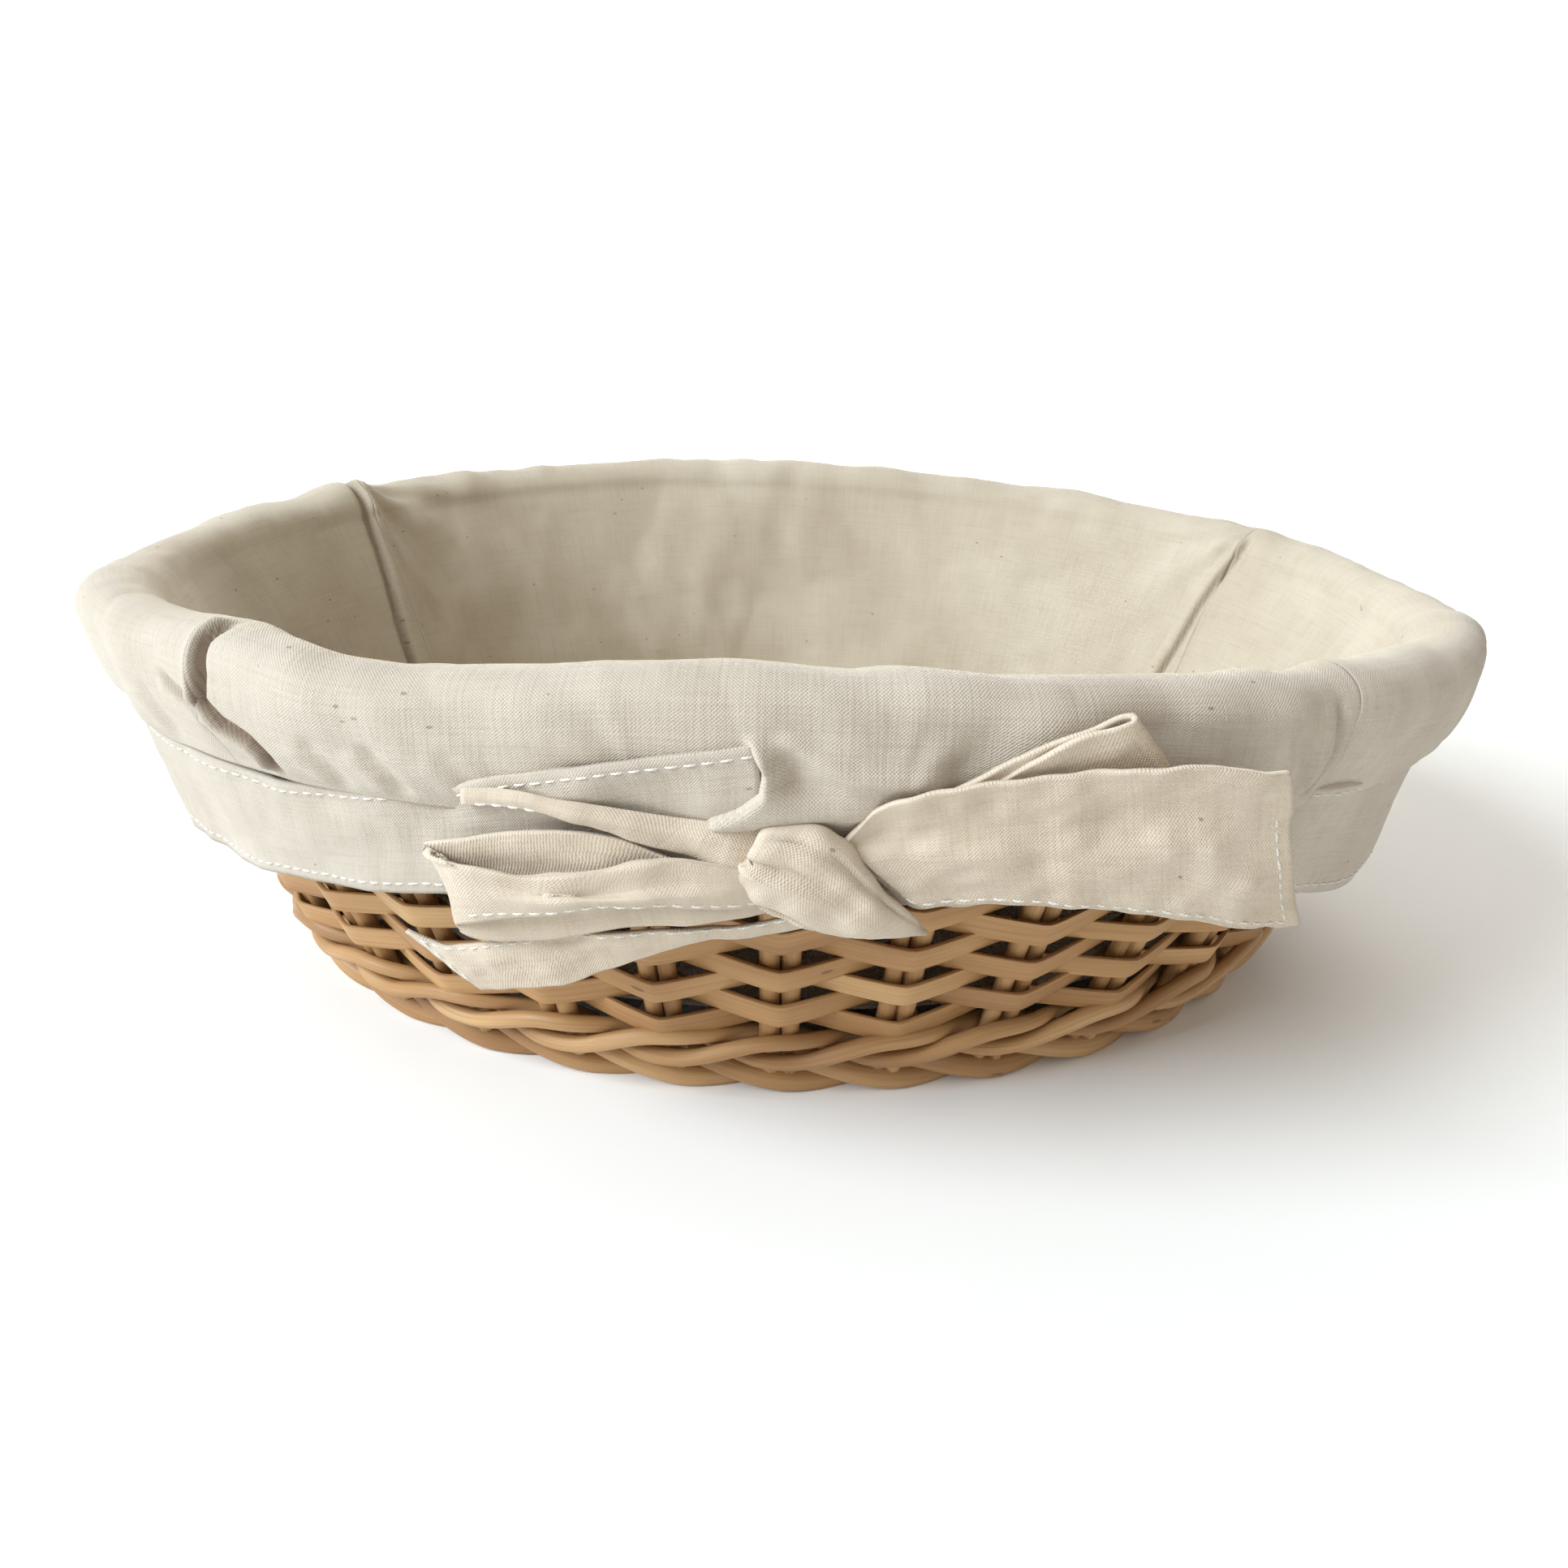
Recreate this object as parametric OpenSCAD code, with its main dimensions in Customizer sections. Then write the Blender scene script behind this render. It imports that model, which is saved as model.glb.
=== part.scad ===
// Oval willow bread basket with a tied linen liner.
// The basket stands on its foot at z = 0. X is its length, -Y its front, where the bow is tied.
// Angles run round the oval from +X, so the front is at 270 degrees.

/* [Basket] */
// Length of the wall's centre line at the top
wall_top_l = 316; // [290:1:340]
// Width of the wall's centre line at the top
wall_top_w = 232; // [210:1:250]
// Length of the wall's centre line at the bottom
wall_foot_l = 256; // [236:1:270]
// Width of the wall's centre line at the bottom
wall_foot_w = 184; // [170:1:196]
// Mean height of the cloth's crest above the ground
crest_h = 98.4; // [94:0.1:106]
// How much the crest rises from the right end to the left end, each way from the mean
end_tilt = 2.4; // [0:0.1:4]
// How much the long sides rise above the ends, each way from the mean
saddle = 3.84; // [0:0.01:5]
// How much the front rises above the back, each way from the mean
side_tilt = 1.6; // [0:0.1:3]

/* [Stakes and weave] */
// Pairs of upright stakes round the wall, a multiple of six
stake_pairs = 30; // [24:6:30]
// Radius of a stake
stake_r = 2; // [1.6:0.1:2.1]
// Rows of flat split willow in the wall
rows = 14; // [12:1:14]
// Height of the lowest row's centre line
row_start = 21.5; // [21.4:0.1:22]
// Thickness of a flat weaver
strip_t = 1.4; // [1:0.1:1.6]
// Share of the row spacing that a weaver fills
strip_fill = 0.93; // [0.8:0.01:0.94]

/* [Foot, waling and rim] */
// Radius of a foot rod
foot_r = 2.75; // [2.4:0.05:2.8]
// Radius of a waling rod
wale_r = 1.6; // [1.3:0.1:1.6]
// Height of the waling's centre line
wale_z = 14.2; // [14:0.1:14.2]
// Radius of a rim rod
rim_r = 2.2; // [1.8:0.1:2.3]
// Turns that the rods of the foot and of the rim make round each other
border_turns = 10; // [8:1:10]

/* [Base] */
// Height of the base sticks' centre line
base_z = 14.2; // [14:0.1:14.4]
// Spacing of the three long sticks
long_pitch = 22; // [18:1:24]
// Spacing of the five cross sticks
cross_pitch = 28; // [24:1:30]
// Rings of weave round the base
base_rings = 8; // [4:1:8]

/* [Liner] */
// Thickness of the cloth with its seam allowances
cloth_t = 1.2; // [0.8:0.1:1.3]
// Depth of the cuff, from the crest down to the band
cuff_d = 27.5; // [24:0.5:32]
// Height of the doubled band
band_h = 27; // [24:1:32]
// Thickness of the doubled band
band_t = 2.2; // [1.8:0.1:2.4]
// Width of the tie straps
strap_w = 28; // [22:1:29]
// Thickness of a folded strap
strap_t = 1.6; // [1.2:0.1:1.8]
// Thickness of a loop of the bow, two straps deep
loop_t = 3; // [2.4:0.1:3.4]

/* [Hidden] */

gap = 0.15;
// Heights at which the wall's bottom and top sizes are taken
wall_z0 = 6;
wall_z1 = 92;
willow = "burlywood";
rod_willow = "tan";
linen = "antiquewhite";
linen_shade = "wheat";

// Radius of a bundle of three rods that turn round each other, and of its rods' centres
foot_turn_r = 1.235 * foot_r;
rim_turn_r = 1.235 * rim_r;
rim_bundle_r = rim_turn_r + rim_r;
foot_z = 1.78 * foot_r;
foot_a = wall_foot_l / 2 - 2.5;
foot_b = wall_foot_w / 2 - 2.8;
// The rim bundle lies a little outside the top of the wall
rim_a = wall_top_l / 2 + 2;
rim_b = wall_top_w / 2 + 2;
rim_clear = 1;
border_steps = 90;

weave_out = stake_r + strip_t / 2 + gap;
wale_out = stake_r + wale_r + gap;
wale_up = 2 * wale_r + gap;
plateau = 2.3 * stake_r;

long_h = 3;
long_w = 3.6;
cross_h = 4.4;
cross_w = 4.6;
stick_a = wall_foot_l / 2 - 4.5;
stick_b = wall_foot_w / 2 - 5;
ring_w = 3;
ring_t = 1.6;
ring_out = cross_h / 2 + ring_t / 2 + gap;

liner_out = -weave_out - strip_t / 2 - 0.85;
liner_z = base_z + ring_out + ring_t / 2 + 0.3;
// Depth of the inner wall's top edge below the rim bundle's centre
wall_drop = 2.5;
cuff_out = weave_out + strip_t / 2 + 5.2;
band_foot_out = cuff_out + 3.2;
// Angles of the liner's four upright seams
seam_right_back = 28;
seam_back_left = 147;
seam_left_front = 230;
seam_front_right = 308;
seam_gap = 0.1;
// Angles at which the band ends on each side of the bow
band_end_left = 254;
band_end_right = 284;

// Stations along each piece of the bow: x, y, z and height. Each runs from left to right.
strap_left = [[-44, -113.5, 61, strap_w - 4], [-25, -117.2, 66, strap_w - 11], [-5, -119.4, 68, 6]];
strap_right = [[22, -118.6, 62, 9], [30, -116.2, 62, strap_w - 10], [39, -113.8, 60, strap_w - 4]];
loop_left = [[-62, -118, 64, 10], [-58, -119.4, 62.5, 16], [-40, -120.9, 63, 22],
  [-20, -122.4, 64, 16], [-5, -123, 64, 7]];
loop_right = [[11, -122.8, 72, 5], [27, -122.6, 79.5, 10], [44, -121.2, 86.5, 14],
  [56, -119.6, 92, 12], [60, -119.2, 92.5, 8]];
tail_left = [[-65, -115.5, 50, 4], [-52, -114.6, 46, 15], [-34, -117.3, 49.5, 11],
  [-12, -120.4, 53, 7], [2, -121.5, 57, 5]];
tail_right = [[18, -125.4, 63, 9], [30, -124.8, 67.6, 16], [46, -123.4, 72, 24],
  [66, -122, 73.4, strap_w], [87, -120.8, 73.8, strap_w]];
// Stations along the knot: x, z, height and depth
knot_y = -122.4;
knot_path = [[-7, 67.5, 5, 3], [-4, 67.5, 11, 7], [2, 67, 14.5, 9], [9, 65, 17, 9.4], [17, 61, 15, 8.6],
  [23, 57.5, 8, 6], [26, 56, 3, 2.4]];

// ---- The oval ----

function wall_part(z) = (z - wall_z0) / (wall_z1 - wall_z0);
function wall_a(z) = (wall_foot_l + (wall_top_l - wall_foot_l) * wall_part(z)) / 2;
function wall_b(z) = (wall_foot_w + (wall_top_w - wall_foot_w) * wall_part(z)) / 2;
function outward(a, b, t) = let (v = [b * cos(t), a * sin(t)]) v / norm(v);

// A point at angle t and height z, a distance d outside an oval of semi-axes a and b
function at_oval(a, b, t, z, d) = let (n = outward(a, b, t)) [a * cos(t) + d * n.x, b * sin(t) + d * n.y, z];
function at_wall(t, z, d = 0) = at_oval(wall_a(z), wall_b(z), t, z, d);

// Equal steps of u are equal steps along the oval
oval_e = (pow(wall_top_l, 2) - pow(wall_top_w, 2)) / (pow(wall_top_l, 2) + pow(wall_top_w, 2));
function even(u) = u + oval_e / 4 * sin(2 * u) * 180 / PI;
function mm_per_degree(t) = norm([wall_a(50) * sin(t), wall_b(50) * cos(t)]) * PI / 180;
function stake_angle(j) = even((j + 0.5) * 360 / stake_pairs);
function side(j) = j % 2 == 0 ? 1 : -1;

function crest_z(t) = crest_h - end_tilt * cos(t) - saddle * cos(2 * t) - side_tilt * sin(t);
function rim_z(t) = crest_z(t) - cloth_t - rim_clear - rim_bundle_r;
function row_pitch(t) = (rim_z(t) - rim_bundle_r - 2.6 - row_start) / (rows - 1);
function row_z(i, t) = row_start + (i - 1) * row_pitch(t);

// ---- Solids ----

// A solid through a list of sections, each a ring of points
module skin(sections, closed = false) {
  n = len(sections);
  m = len(sections[0]);
  spans = closed ? n : n - 1;
  sides = [for (i = [0:spans - 1], k = [0:m - 1])
    let (j = (i + 1) % n, l = (k + 1) % m)
    each [[i * m + k, i * m + l, j * m + l], [i * m + k, j * m + l, j * m + k]]];
  ends = closed ? [] : [[for (k = [m - 1:-1:0]) k], [for (k = [0:m - 1]) (n - 1) * m + k]];
  polyhedron([for (s = sections) each s], concat(sides, ends));
}

// A sheet between two grids of points of the same size
module sheet(outer, inner) {
  n = len(outer);
  m = len(outer[0]);
  o = n * m;
  faces = [for (i = [0:n - 2], k = [0:m - 2])
    let (p = i * m + k, q = p + m)
    each [[p, q, q + 1], [p, q + 1, p + 1], [o + p, o + q + 1, o + q], [o + p, o + p + 1, o + q + 1]]];
  sides = [for (i = [0:n - 2])
    let (p = i * m, q = p + m, r = p + m - 1, s = r + m)
    each [[p, o + p, o + q], [p, o + q, q], [r, o + s, o + r], [r, s, o + s]]];
  ends = [for (k = [0:m - 2])
    let (p = k, r = (n - 1) * m + k)
    each [[p, o + p + 1, o + p], [p, p + 1, o + p + 1], [r, o + r, o + r + 1], [r, o + r + 1, r + 1]]];
  polyhedron(
    concat([for (row = outer) each row], [for (row = inner) each row]),
    concat(faces, sides, ends));
}

// A round stake from p to q
module stake(p, q, r) {
  v = q - p;
  translate(p)
    rotate([0, acos(v.z / norm(v)), atan2(v.y, v.x)])
      cylinder(h = norm(v), r = r, $fn = 8);
}

// Six corners of a rod's section round the point that is d outside an oval and at height z
function rod_section(a, b, t, z, d, r, floor_z = -1) =
  [for (c = [0:60:300]) at_oval(a, b, t, max(floor_z, z + r * sin(c)), d + r * cos(c))];

// One of three rods that turn round each other along a border
module border_rod(k, a, b, r, turn_r, flat_foot) {
  skin([for (s = [0:border_steps - 1])
    let (
      u = s * 360 / border_steps,
      t = even(u),
      turn = -border_turns * u + 120 * (k - 1) + 270,
      z = (flat_foot ? foot_z : rim_z(t)) + turn_r * sin(turn)
    )
    rod_section(a, b, t, z, turn_r * cos(turn), r, flat_foot ? 0 : -1)], closed = true);
}

// ---- Basket ----

module stick_row(count, pitch, reach_1, reach_2, w, h, across) {
  for (i = [-(count - 1) / 2:(count - 1) / 2]) {
    s = i * pitch;
    half = reach_1 * sqrt(1 - pow((abs(s) + w / 2) / reach_2, 2));
    translate(across ? [s, 0, base_z] : [0, s, base_z])
      cube(across ? [w, 2 * half, h] : [2 * half, w, h], center = true);
  }
}

module base_long_sticks() color(rod_willow)
  stick_row(3, long_pitch, stick_a, stick_b, long_w, long_h, false);

// The cross sticks are slit, and the long ones pass through the slits
module base_cross_sticks() color(rod_willow)
  difference() {
    stick_row(5, cross_pitch, stick_b, stick_a, cross_w, cross_h, true);
    for (i = [-1:1])
      translate([0, i * long_pitch, base_z])
        cube([2 * stick_a, long_w + 0.2, long_h + 0.2], center = true);
  }

// Angles at which a ring of semi-axes a and b crosses the sixteen stick ends, in order
function quarter_crossings(a, b) =
  [asin(long_pitch / b), acos(2 * cross_pitch / a), acos(cross_pitch / a)];
function crossings(a, b) = let (q = quarter_crossings(a, b))
  [0, q[0], q[1], q[2], 90, 180 - q[2], 180 - q[1], 180 - q[0],
    180, 180 + q[0], 180 + q[1], 180 + q[2], 270, 360 - q[2], 360 - q[1], 360 - q[0]];

// One flat ring of the base, that goes over and under the stick ends in turn
module base_ring(k) color(willow) {
  share = 0.90 - 0.04 * (k - 1);
  a = stick_a * share;
  b = stick_b * share;
  at = crossings(a, b);
  half_deg = [for (t = at) 180 / PI * 3.6 / norm([a * sin(t), b * cos(t)])];
  skin([for (j = [0:len(at) - 1], e = [-1, 1])
    let (t = at[j] + e * half_deg[j], z = base_z + side(j + k) * ring_out)
    [
      at_oval(a, b, t, z - ring_t / 2, -ring_w / 2),
      at_oval(a, b, t, z - ring_t / 2, ring_w / 2),
      at_oval(a, b, t, z + ring_t / 2, ring_w / 2),
      at_oval(a, b, t, z + ring_t / 2, -ring_w / 2)
    ]], closed = true);
}

module side_stakes() color(rod_willow)
  for (j = [0:stake_pairs - 1], e = [-1, 1]) {
    t = stake_angle(j);
    n = outward(wall_a(50), wall_b(50), t);
    shift = e * (stake_r + gap) * [-n.y, n.x, 0];
    stake(at_wall(t, 8) + shift, at_wall(t, rim_z(t)) + shift, stake_r);
  }

module foot_rod(k) color(rod_willow)
  border_rod(k, foot_a, foot_b, foot_r, foot_turn_r, true);

module rim_rod(k) color(rod_willow)
  border_rod(k, rim_a, rim_b, rim_r, rim_turn_r, false);

// One of three rods twined round the stakes: it goes behind one pair, then in front of two,
// low at the first of them and high at the second
module waling_rod(k) color(rod_willow)
  skin([for (j = [0:stake_pairs - 1], e = [-1, 1])
    let (
      here = stake_angle(j),
      t = here + e * plateau / mm_per_degree(here),
      place = (j + k) % 3,
      d = place == 0 ? -wale_out : wale_out,
      z = wale_z + [0, -wale_up, wale_up][place]
    )
    rod_section(wall_a(z), wall_b(z), t, z, d, wale_r)], closed = true);

// A flat weaver, inside one pair of stakes and outside the next
module weaver_row(i) color(willow)
  skin([for (j = [0:stake_pairs - 1], e = [-1, 1])
    let (
      here = stake_angle(j),
      t = here + e * plateau / mm_per_degree(here),
      d = side(i + j) * weave_out,
      z = row_z(i, here),
      h = strip_fill * row_pitch(here)
    )
    [
      at_wall(t, z - h / 2, d - strip_t / 2),
      at_wall(t, z - h / 2, d + strip_t / 2),
      at_wall(t, z + h / 2, d + strip_t / 2),
      at_wall(t, z + h / 2, d - strip_t / 2)
    ]], closed = true);

// ---- Liner ----

module liner_bottom() color(linen_shade)
  translate([0, 0, liner_z])
    linear_extrude(cloth_t)
      polygon([for (t = [0:5:355])
        let (p = at_wall(t, liner_z, liner_out - cloth_t - 0.5)) [p.x, p.y]]);

// Angles from t0 to t1 in steps of about 5.5 degrees
function steps(t0, t1) = let (n = ceil((t1 - t0) / 5.5))
  [for (i = [0:n]) t0 + seam_gap + (t1 - t0 - 2 * seam_gap) * i / n];

module liner_wall(t0, t1) color(linen_shade)
  skin([for (t = steps(t0, t1))
    let (top = rim_z(t) - wall_drop - 0.05, low = liner_z + 0.2)
    [
      at_wall(t, low, liner_out - cloth_t),
      at_wall(t, low, liner_out),
      at_wall(t, top, liner_out),
      at_wall(t, top, liner_out - cloth_t)
    ]]);

// The cuff's section at angle t, on the face that is a distance thick off the willow:
// from the top of the inner wall over the rim bundle and down to the band
function cuff_section(t, thick) =
  let (z = rim_z(t), r = rim_bundle_r + rim_clear + thick)
  concat(
    [at_wall(t, z - wall_drop, liner_out - thick)],
    [for (c = [165:-35:-10]) at_oval(rim_a, rim_b, t, z + r * sin(c), r * cos(c))],
    [at_wall(t, crest_z(t) - cuff_d, cuff_out + thick)]);

module liner_cuff(t0, t1) color(linen)
  sheet(
    [for (t = steps(t0, t1)) cuff_section(t, cloth_t)],
    [for (t = steps(t0, t1)) cuff_section(t, 0)]);

module casing_band(t0, t1) color(linen)
  skin([for (t = steps(t0, t1))
    let (top = crest_z(t) - cuff_d - 0.1, low = top - band_h)
    [
      at_wall(t, low, band_foot_out),
      at_wall(t, low, band_foot_out + band_t),
      at_wall(t, top, cuff_out + band_t - 0.6),
      at_wall(t, top, cuff_out - 0.6)
    ]]);

module liner_wall_front() liner_wall(seam_left_front, seam_front_right);
module liner_wall_right() liner_wall(seam_front_right, 360 + seam_right_back);
module liner_wall_back() liner_wall(seam_right_back, seam_back_left);
module liner_wall_left() liner_wall(seam_back_left, seam_left_front);
module liner_cuff_front() liner_cuff(seam_left_front, seam_front_right);
module liner_cuff_right() liner_cuff(seam_front_right, 360 + seam_right_back);
module liner_cuff_back() liner_cuff(seam_right_back, seam_back_left);
module liner_cuff_left() liner_cuff(seam_back_left, seam_left_front);
module casing_band_left() casing_band(90, band_end_left);
module casing_band_right() casing_band(band_end_right, 450);

// ---- Bow ----

module strap(path, t) color(linen)
  skin([for (p = path) [
    [p.x, p.y + t / 2, p.z - p[3] / 2],
    [p.x, p.y - t / 2, p.z - p[3] / 2],
    [p.x, p.y - t / 2, p.z + p[3] / 2],
    [p.x, p.y + t / 2, p.z + p[3] / 2]
  ]]);

module tie_strap_left() strap(strap_left, strap_t);
module tie_strap_right() strap(strap_right, strap_t);
module bow_loop_left() strap(loop_left, loop_t);
module bow_loop_right() strap(loop_right, strap_t);
module bow_tail_left() strap(tail_left, strap_t);
module bow_tail_right() strap(tail_right, strap_t);

module bow_knot() color(linen)
  skin([for (p = knot_path) [for (c = [0:45:315])
    [p.x, knot_y + p[3] / 2 * cos(c), p.y - p[2] / 2 * sin(c)]]]);

base_long_sticks();
base_cross_sticks();
side_stakes();
for (k = [1:base_rings])
  base_ring(k);
for (k = [1:3])
  foot_rod(k);
for (k = [1:3])
  waling_rod(k);
for (i = [1:rows])
  weaver_row(i);
for (k = [1:3])
  rim_rod(k);
liner_bottom();
liner_wall_front();
liner_wall_right();
liner_wall_back();
liner_wall_left();
liner_cuff_front();
liner_cuff_right();
liner_cuff_back();
liner_cuff_left();
casing_band_left();
casing_band_right();
tie_strap_left();
tie_strap_right();
bow_knot();
bow_loop_left();
bow_loop_right();
bow_tail_left();
bow_tail_right();
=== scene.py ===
"""Oval willow bread basket with a tied linen liner: its looks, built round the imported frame.

Lengths are in millimetres until a mesh is made. X is the basket's length and -Y its front.
Angles run round the oval from +X, so the front is at 270 degrees.
"""
import math

import bpy
import numpy as np
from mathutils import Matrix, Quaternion, Vector


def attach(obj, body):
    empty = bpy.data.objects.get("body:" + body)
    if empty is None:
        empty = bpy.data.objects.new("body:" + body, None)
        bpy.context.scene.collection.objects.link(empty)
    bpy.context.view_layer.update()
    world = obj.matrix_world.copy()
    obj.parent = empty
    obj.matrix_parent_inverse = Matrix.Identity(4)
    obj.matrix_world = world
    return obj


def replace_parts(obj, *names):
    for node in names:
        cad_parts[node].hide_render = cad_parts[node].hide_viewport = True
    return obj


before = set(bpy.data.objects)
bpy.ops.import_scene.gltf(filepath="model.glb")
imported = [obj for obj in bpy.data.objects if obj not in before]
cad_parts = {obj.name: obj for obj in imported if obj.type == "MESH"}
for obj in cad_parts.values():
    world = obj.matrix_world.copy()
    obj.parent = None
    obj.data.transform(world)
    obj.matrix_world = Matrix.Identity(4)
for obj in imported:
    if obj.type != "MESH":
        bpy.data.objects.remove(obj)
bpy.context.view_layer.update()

MM = 0.001

# ---- Sizes, in millimetres ----

WALL_FOOT = (128, 92)  # the wall's semi-axes at WALL_Z[0]
WALL_TOP = (158, 116)  # and at WALL_Z[1]
WALL_Z = (6, 92)
RIM = (160, 118)  # the rim bundle's centre line
RIM_BUNDLE_R = 4.92
RIM_ROD_R, RIM_TURN_R = 2.25, 2.72  # one rod of the rim, and the circle that its rods twist on
FOOT = (125.5, 89.2)
FOOT_Z = 4.9
FOOT_ROD_R, FOOT_TURN_R = 2.8, 3.4
STAKES = 30
STAKE_R = 2.0
ROWS = 14
ROW_START = 21.5
WEAVE_DIP = 1.3  # how far a weaver sinks where it passes in front of a pair, and rises behind
WEAVE_OUT = 4.0  # from the wall to a weaver's middle where it passes a pair
WEAVER_HALF = 0.6  # half of a weaver's thickness
WALING_Z, WALING_R = 14.2, 1.8
BASE_Z = 14.2
BASE_STICKS = (123.5, 87)  # semi-axes of the oval that the sticks end on
LONG_STICK_R, CROSS_STICK_R = 1.7, 2.3
LONG_PITCH, CROSS_PITCH = 22, 28
CLOTH_T, BAND_T = 0.9, 1.7  # thickness of the liner's cloth and of the doubled band
CLOTH_ON_RIM = 2.2  # from the top of the rim bundle to the cloth's crest
CUFF_R = 7.1  # from the rim bundle's centre to the cloth's outer face
CUFF_DEPTH = 27.5  # from the crest down to the band
HEM_DEPTH = 54.5  # from the crest down to the band's hem
BAND_OUT = 9.95  # from the wall to the cloth's outer face where the band starts
BAND_FLARE = 3.4  # how much further out the hem stands
BAND_LEFT, BAND_RIGHT = (90, 267.7), (283, 450)  # degrees that the two halves of the band cover
LIP_OUT = 3.9  # how far the cuff's folded edge stands out beside the band's end
FLOOR_Z = 19.6
FLOOR_OVAL = (127, 90)
SEAMS = (28, 147, 230, 308)  # angles of the liner's upright seams
STITCH = 2.2
STITCH_GAP = 0.9
COLUMNS = 1440  # of the liner's grid, round the oval
INSIDE_STEPS, ARC_STEPS, OUTSIDE_STEPS = 40, 20, 38  # its rows inside, over the rim and outside
BOW_FRONT = (0, -1, 0.2)  # the way that the bow's cloth faces


# ---- The oval ----

def wall_axes(z):
    part = (z - WALL_Z[0]) / (WALL_Z[1] - WALL_Z[0])
    return [foot + (top - foot) * part for foot, top in zip(WALL_FOOT, WALL_TOP)]


def oval(a, b, t, z, d=0.0):
    """Points at angles t (radians) and heights z, a distance d outside an oval."""
    c, s = np.cos(t), np.sin(t)
    size = np.hypot(b * c, a * s)
    x = a * c + d * b * c / size
    y = b * s + d * a * s / size
    return np.stack(np.broadcast_arrays(x, y, z * np.ones_like(x)), axis=-1)


def on_wall(t, z, d=0.0):
    a, b = wall_axes(z)
    return oval(a, b, t, z, d)


def even(u):
    """Equal steps of u are equal steps along the oval, to within a few parts in a hundred."""
    return u + 0.0749 * np.sin(2 * u)


def round_table(points, blur=2.5):
    """A smooth periodic function of the angle in radians, through (degrees, value) points."""
    at, value = np.array(points, float).T
    grid = np.arange(720) / 2
    rough = np.interp(grid, at, value, period=360)
    kernel = np.exp(-((np.fft.fftfreq(720) * 360 / blur) ** 2) / 2)
    soft = np.real(np.fft.ifft(np.fft.fft(rough) * np.fft.fft(kernel / kernel.sum())))
    return lambda t: np.interp(np.degrees(t) % 360, grid, soft, period=360)


# How the cloth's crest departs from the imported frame's, and the band's seam from its even line
crest_shift = round_table([(0, -2.2), (12, -0.9), (30, 0), (85, 0), (110, 1.3), (125, 0.8), (140, 0.2), (150, 0.8),
                           (160, 0), (185, -1), (228, 0),
                           (233, -0.5), (238, -3.2), (243, -4.3), (248, -3.2), (254, -1.6), (262, 0.6),
                           (268, 1.0), (280, -0.4), (290, -0.2), (300, -1.0), (335, -1.2), (350, -2.2)])
seam_rise = round_table([(0, 0), (215, 0), (226, -0.6), (233.4, -1.5), (238, -0.3), (243, 1.3), (248, 3.0),
                         (252, 7.5), (255.4, 9.8), (258.9, 12.3), (262, 14), (265, 15.6), (268.5, 17.6),
                         (272, 18), (279, 5), (285, 3.8), (306.6, 4.3), (318, 2.2), (325.8, 1.0), (340, 0)], 0.7)
hem_rise = round_table([(0, 0), (225, 0), (240, 5), (248, 9), (256, 12), (262, 17), (267, 22), (276, 22), (286, 17),
                        (300, 8), (313, 2.8), (322, 0)])


def even_crest(t):
    """Height of the cloth's crest before its small departures: higher at the left and front."""
    return 98.4 - 2.4 * np.cos(t) - 3.84 * np.cos(2 * t) - 1.6 * np.sin(t)


def crest_z(t):
    return even_crest(t) + crest_shift(t)


def seam_z(t):
    """Height of the even line where the cuff meets the band."""
    return even_crest(t) - CUFF_DEPTH


def rim_z(t):
    """Height of the rim bundle's centre line."""
    return crest_z(t) - CLOTH_ON_RIM - RIM_BUNDLE_R


def row_pitch(t):
    """Height from one weaver to the next; the rows spread where the rim is higher."""
    return (rim_z(t) - RIM_BUNDLE_R - 2.6 - ROW_START) / (ROWS - 1)


# ---- Helpers ----

def random_for(*key):
    return np.random.default_rng([7919] + [int(k) for k in key])


def waves(points, wavelength, seed, count=18, stretch=(1, 1, 1)):
    """A smooth random field of about unit size over points, made of plane waves."""
    rng = random_for(seed)
    total = np.zeros(points.shape[:-1])
    for _ in range(count):
        way = rng.normal(size=3)
        way *= np.array(stretch) / np.linalg.norm(way)
        size = 2 * math.pi / (wavelength * rng.uniform(0.75, 1.5))
        total += np.sin(points @ way * size + rng.uniform(0, 2 * math.pi))
    return total / math.sqrt(count / 2)


def smooth(x, low, high):
    k = np.clip((x - low) / (high - low), 0, 1)
    return k * k * (3 - 2 * k)


def bell(x, width):
    return np.exp(-((x / width) ** 2))


def spline(points, n):
    """n points on a smooth curve through the given ones, evenly spread over their gaps."""
    p = np.array(points, float)
    p = np.vstack([2 * p[0] - p[1], p, 2 * p[-1] - p[-2]])
    x = np.linspace(0, len(points) - 1 - 1e-9, n)
    i = x.astype(int)
    k = (x - i)[:, None]
    p0, p1, p2, p3 = p[i], p[i + 1], p[i + 2], p[i + 3]
    return 0.5 * (2 * p1 + (p2 - p0) * k + (2 * p0 - 5 * p1 + 4 * p2 - p3) * k**2
                  + (3 * p1 - p0 - 3 * p2 + p3) * k**3)


def grid_normals(points, closed=False):
    """Unit normals of an (n, m, 3) grid; closed joins its first and last rows."""
    if closed:
        along = np.roll(points, -1, 0) - np.roll(points, 1, 0)
    else:
        along = np.gradient(points, axis=0)
    normal = np.cross(along, np.gradient(points, axis=1))
    return normal / np.maximum(np.linalg.norm(normal, axis=-1, keepdims=True), 1e-9)


def path_length(points):
    return np.concatenate([[0], np.cumsum(np.linalg.norm(np.diff(points, axis=0), axis=1))])


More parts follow.
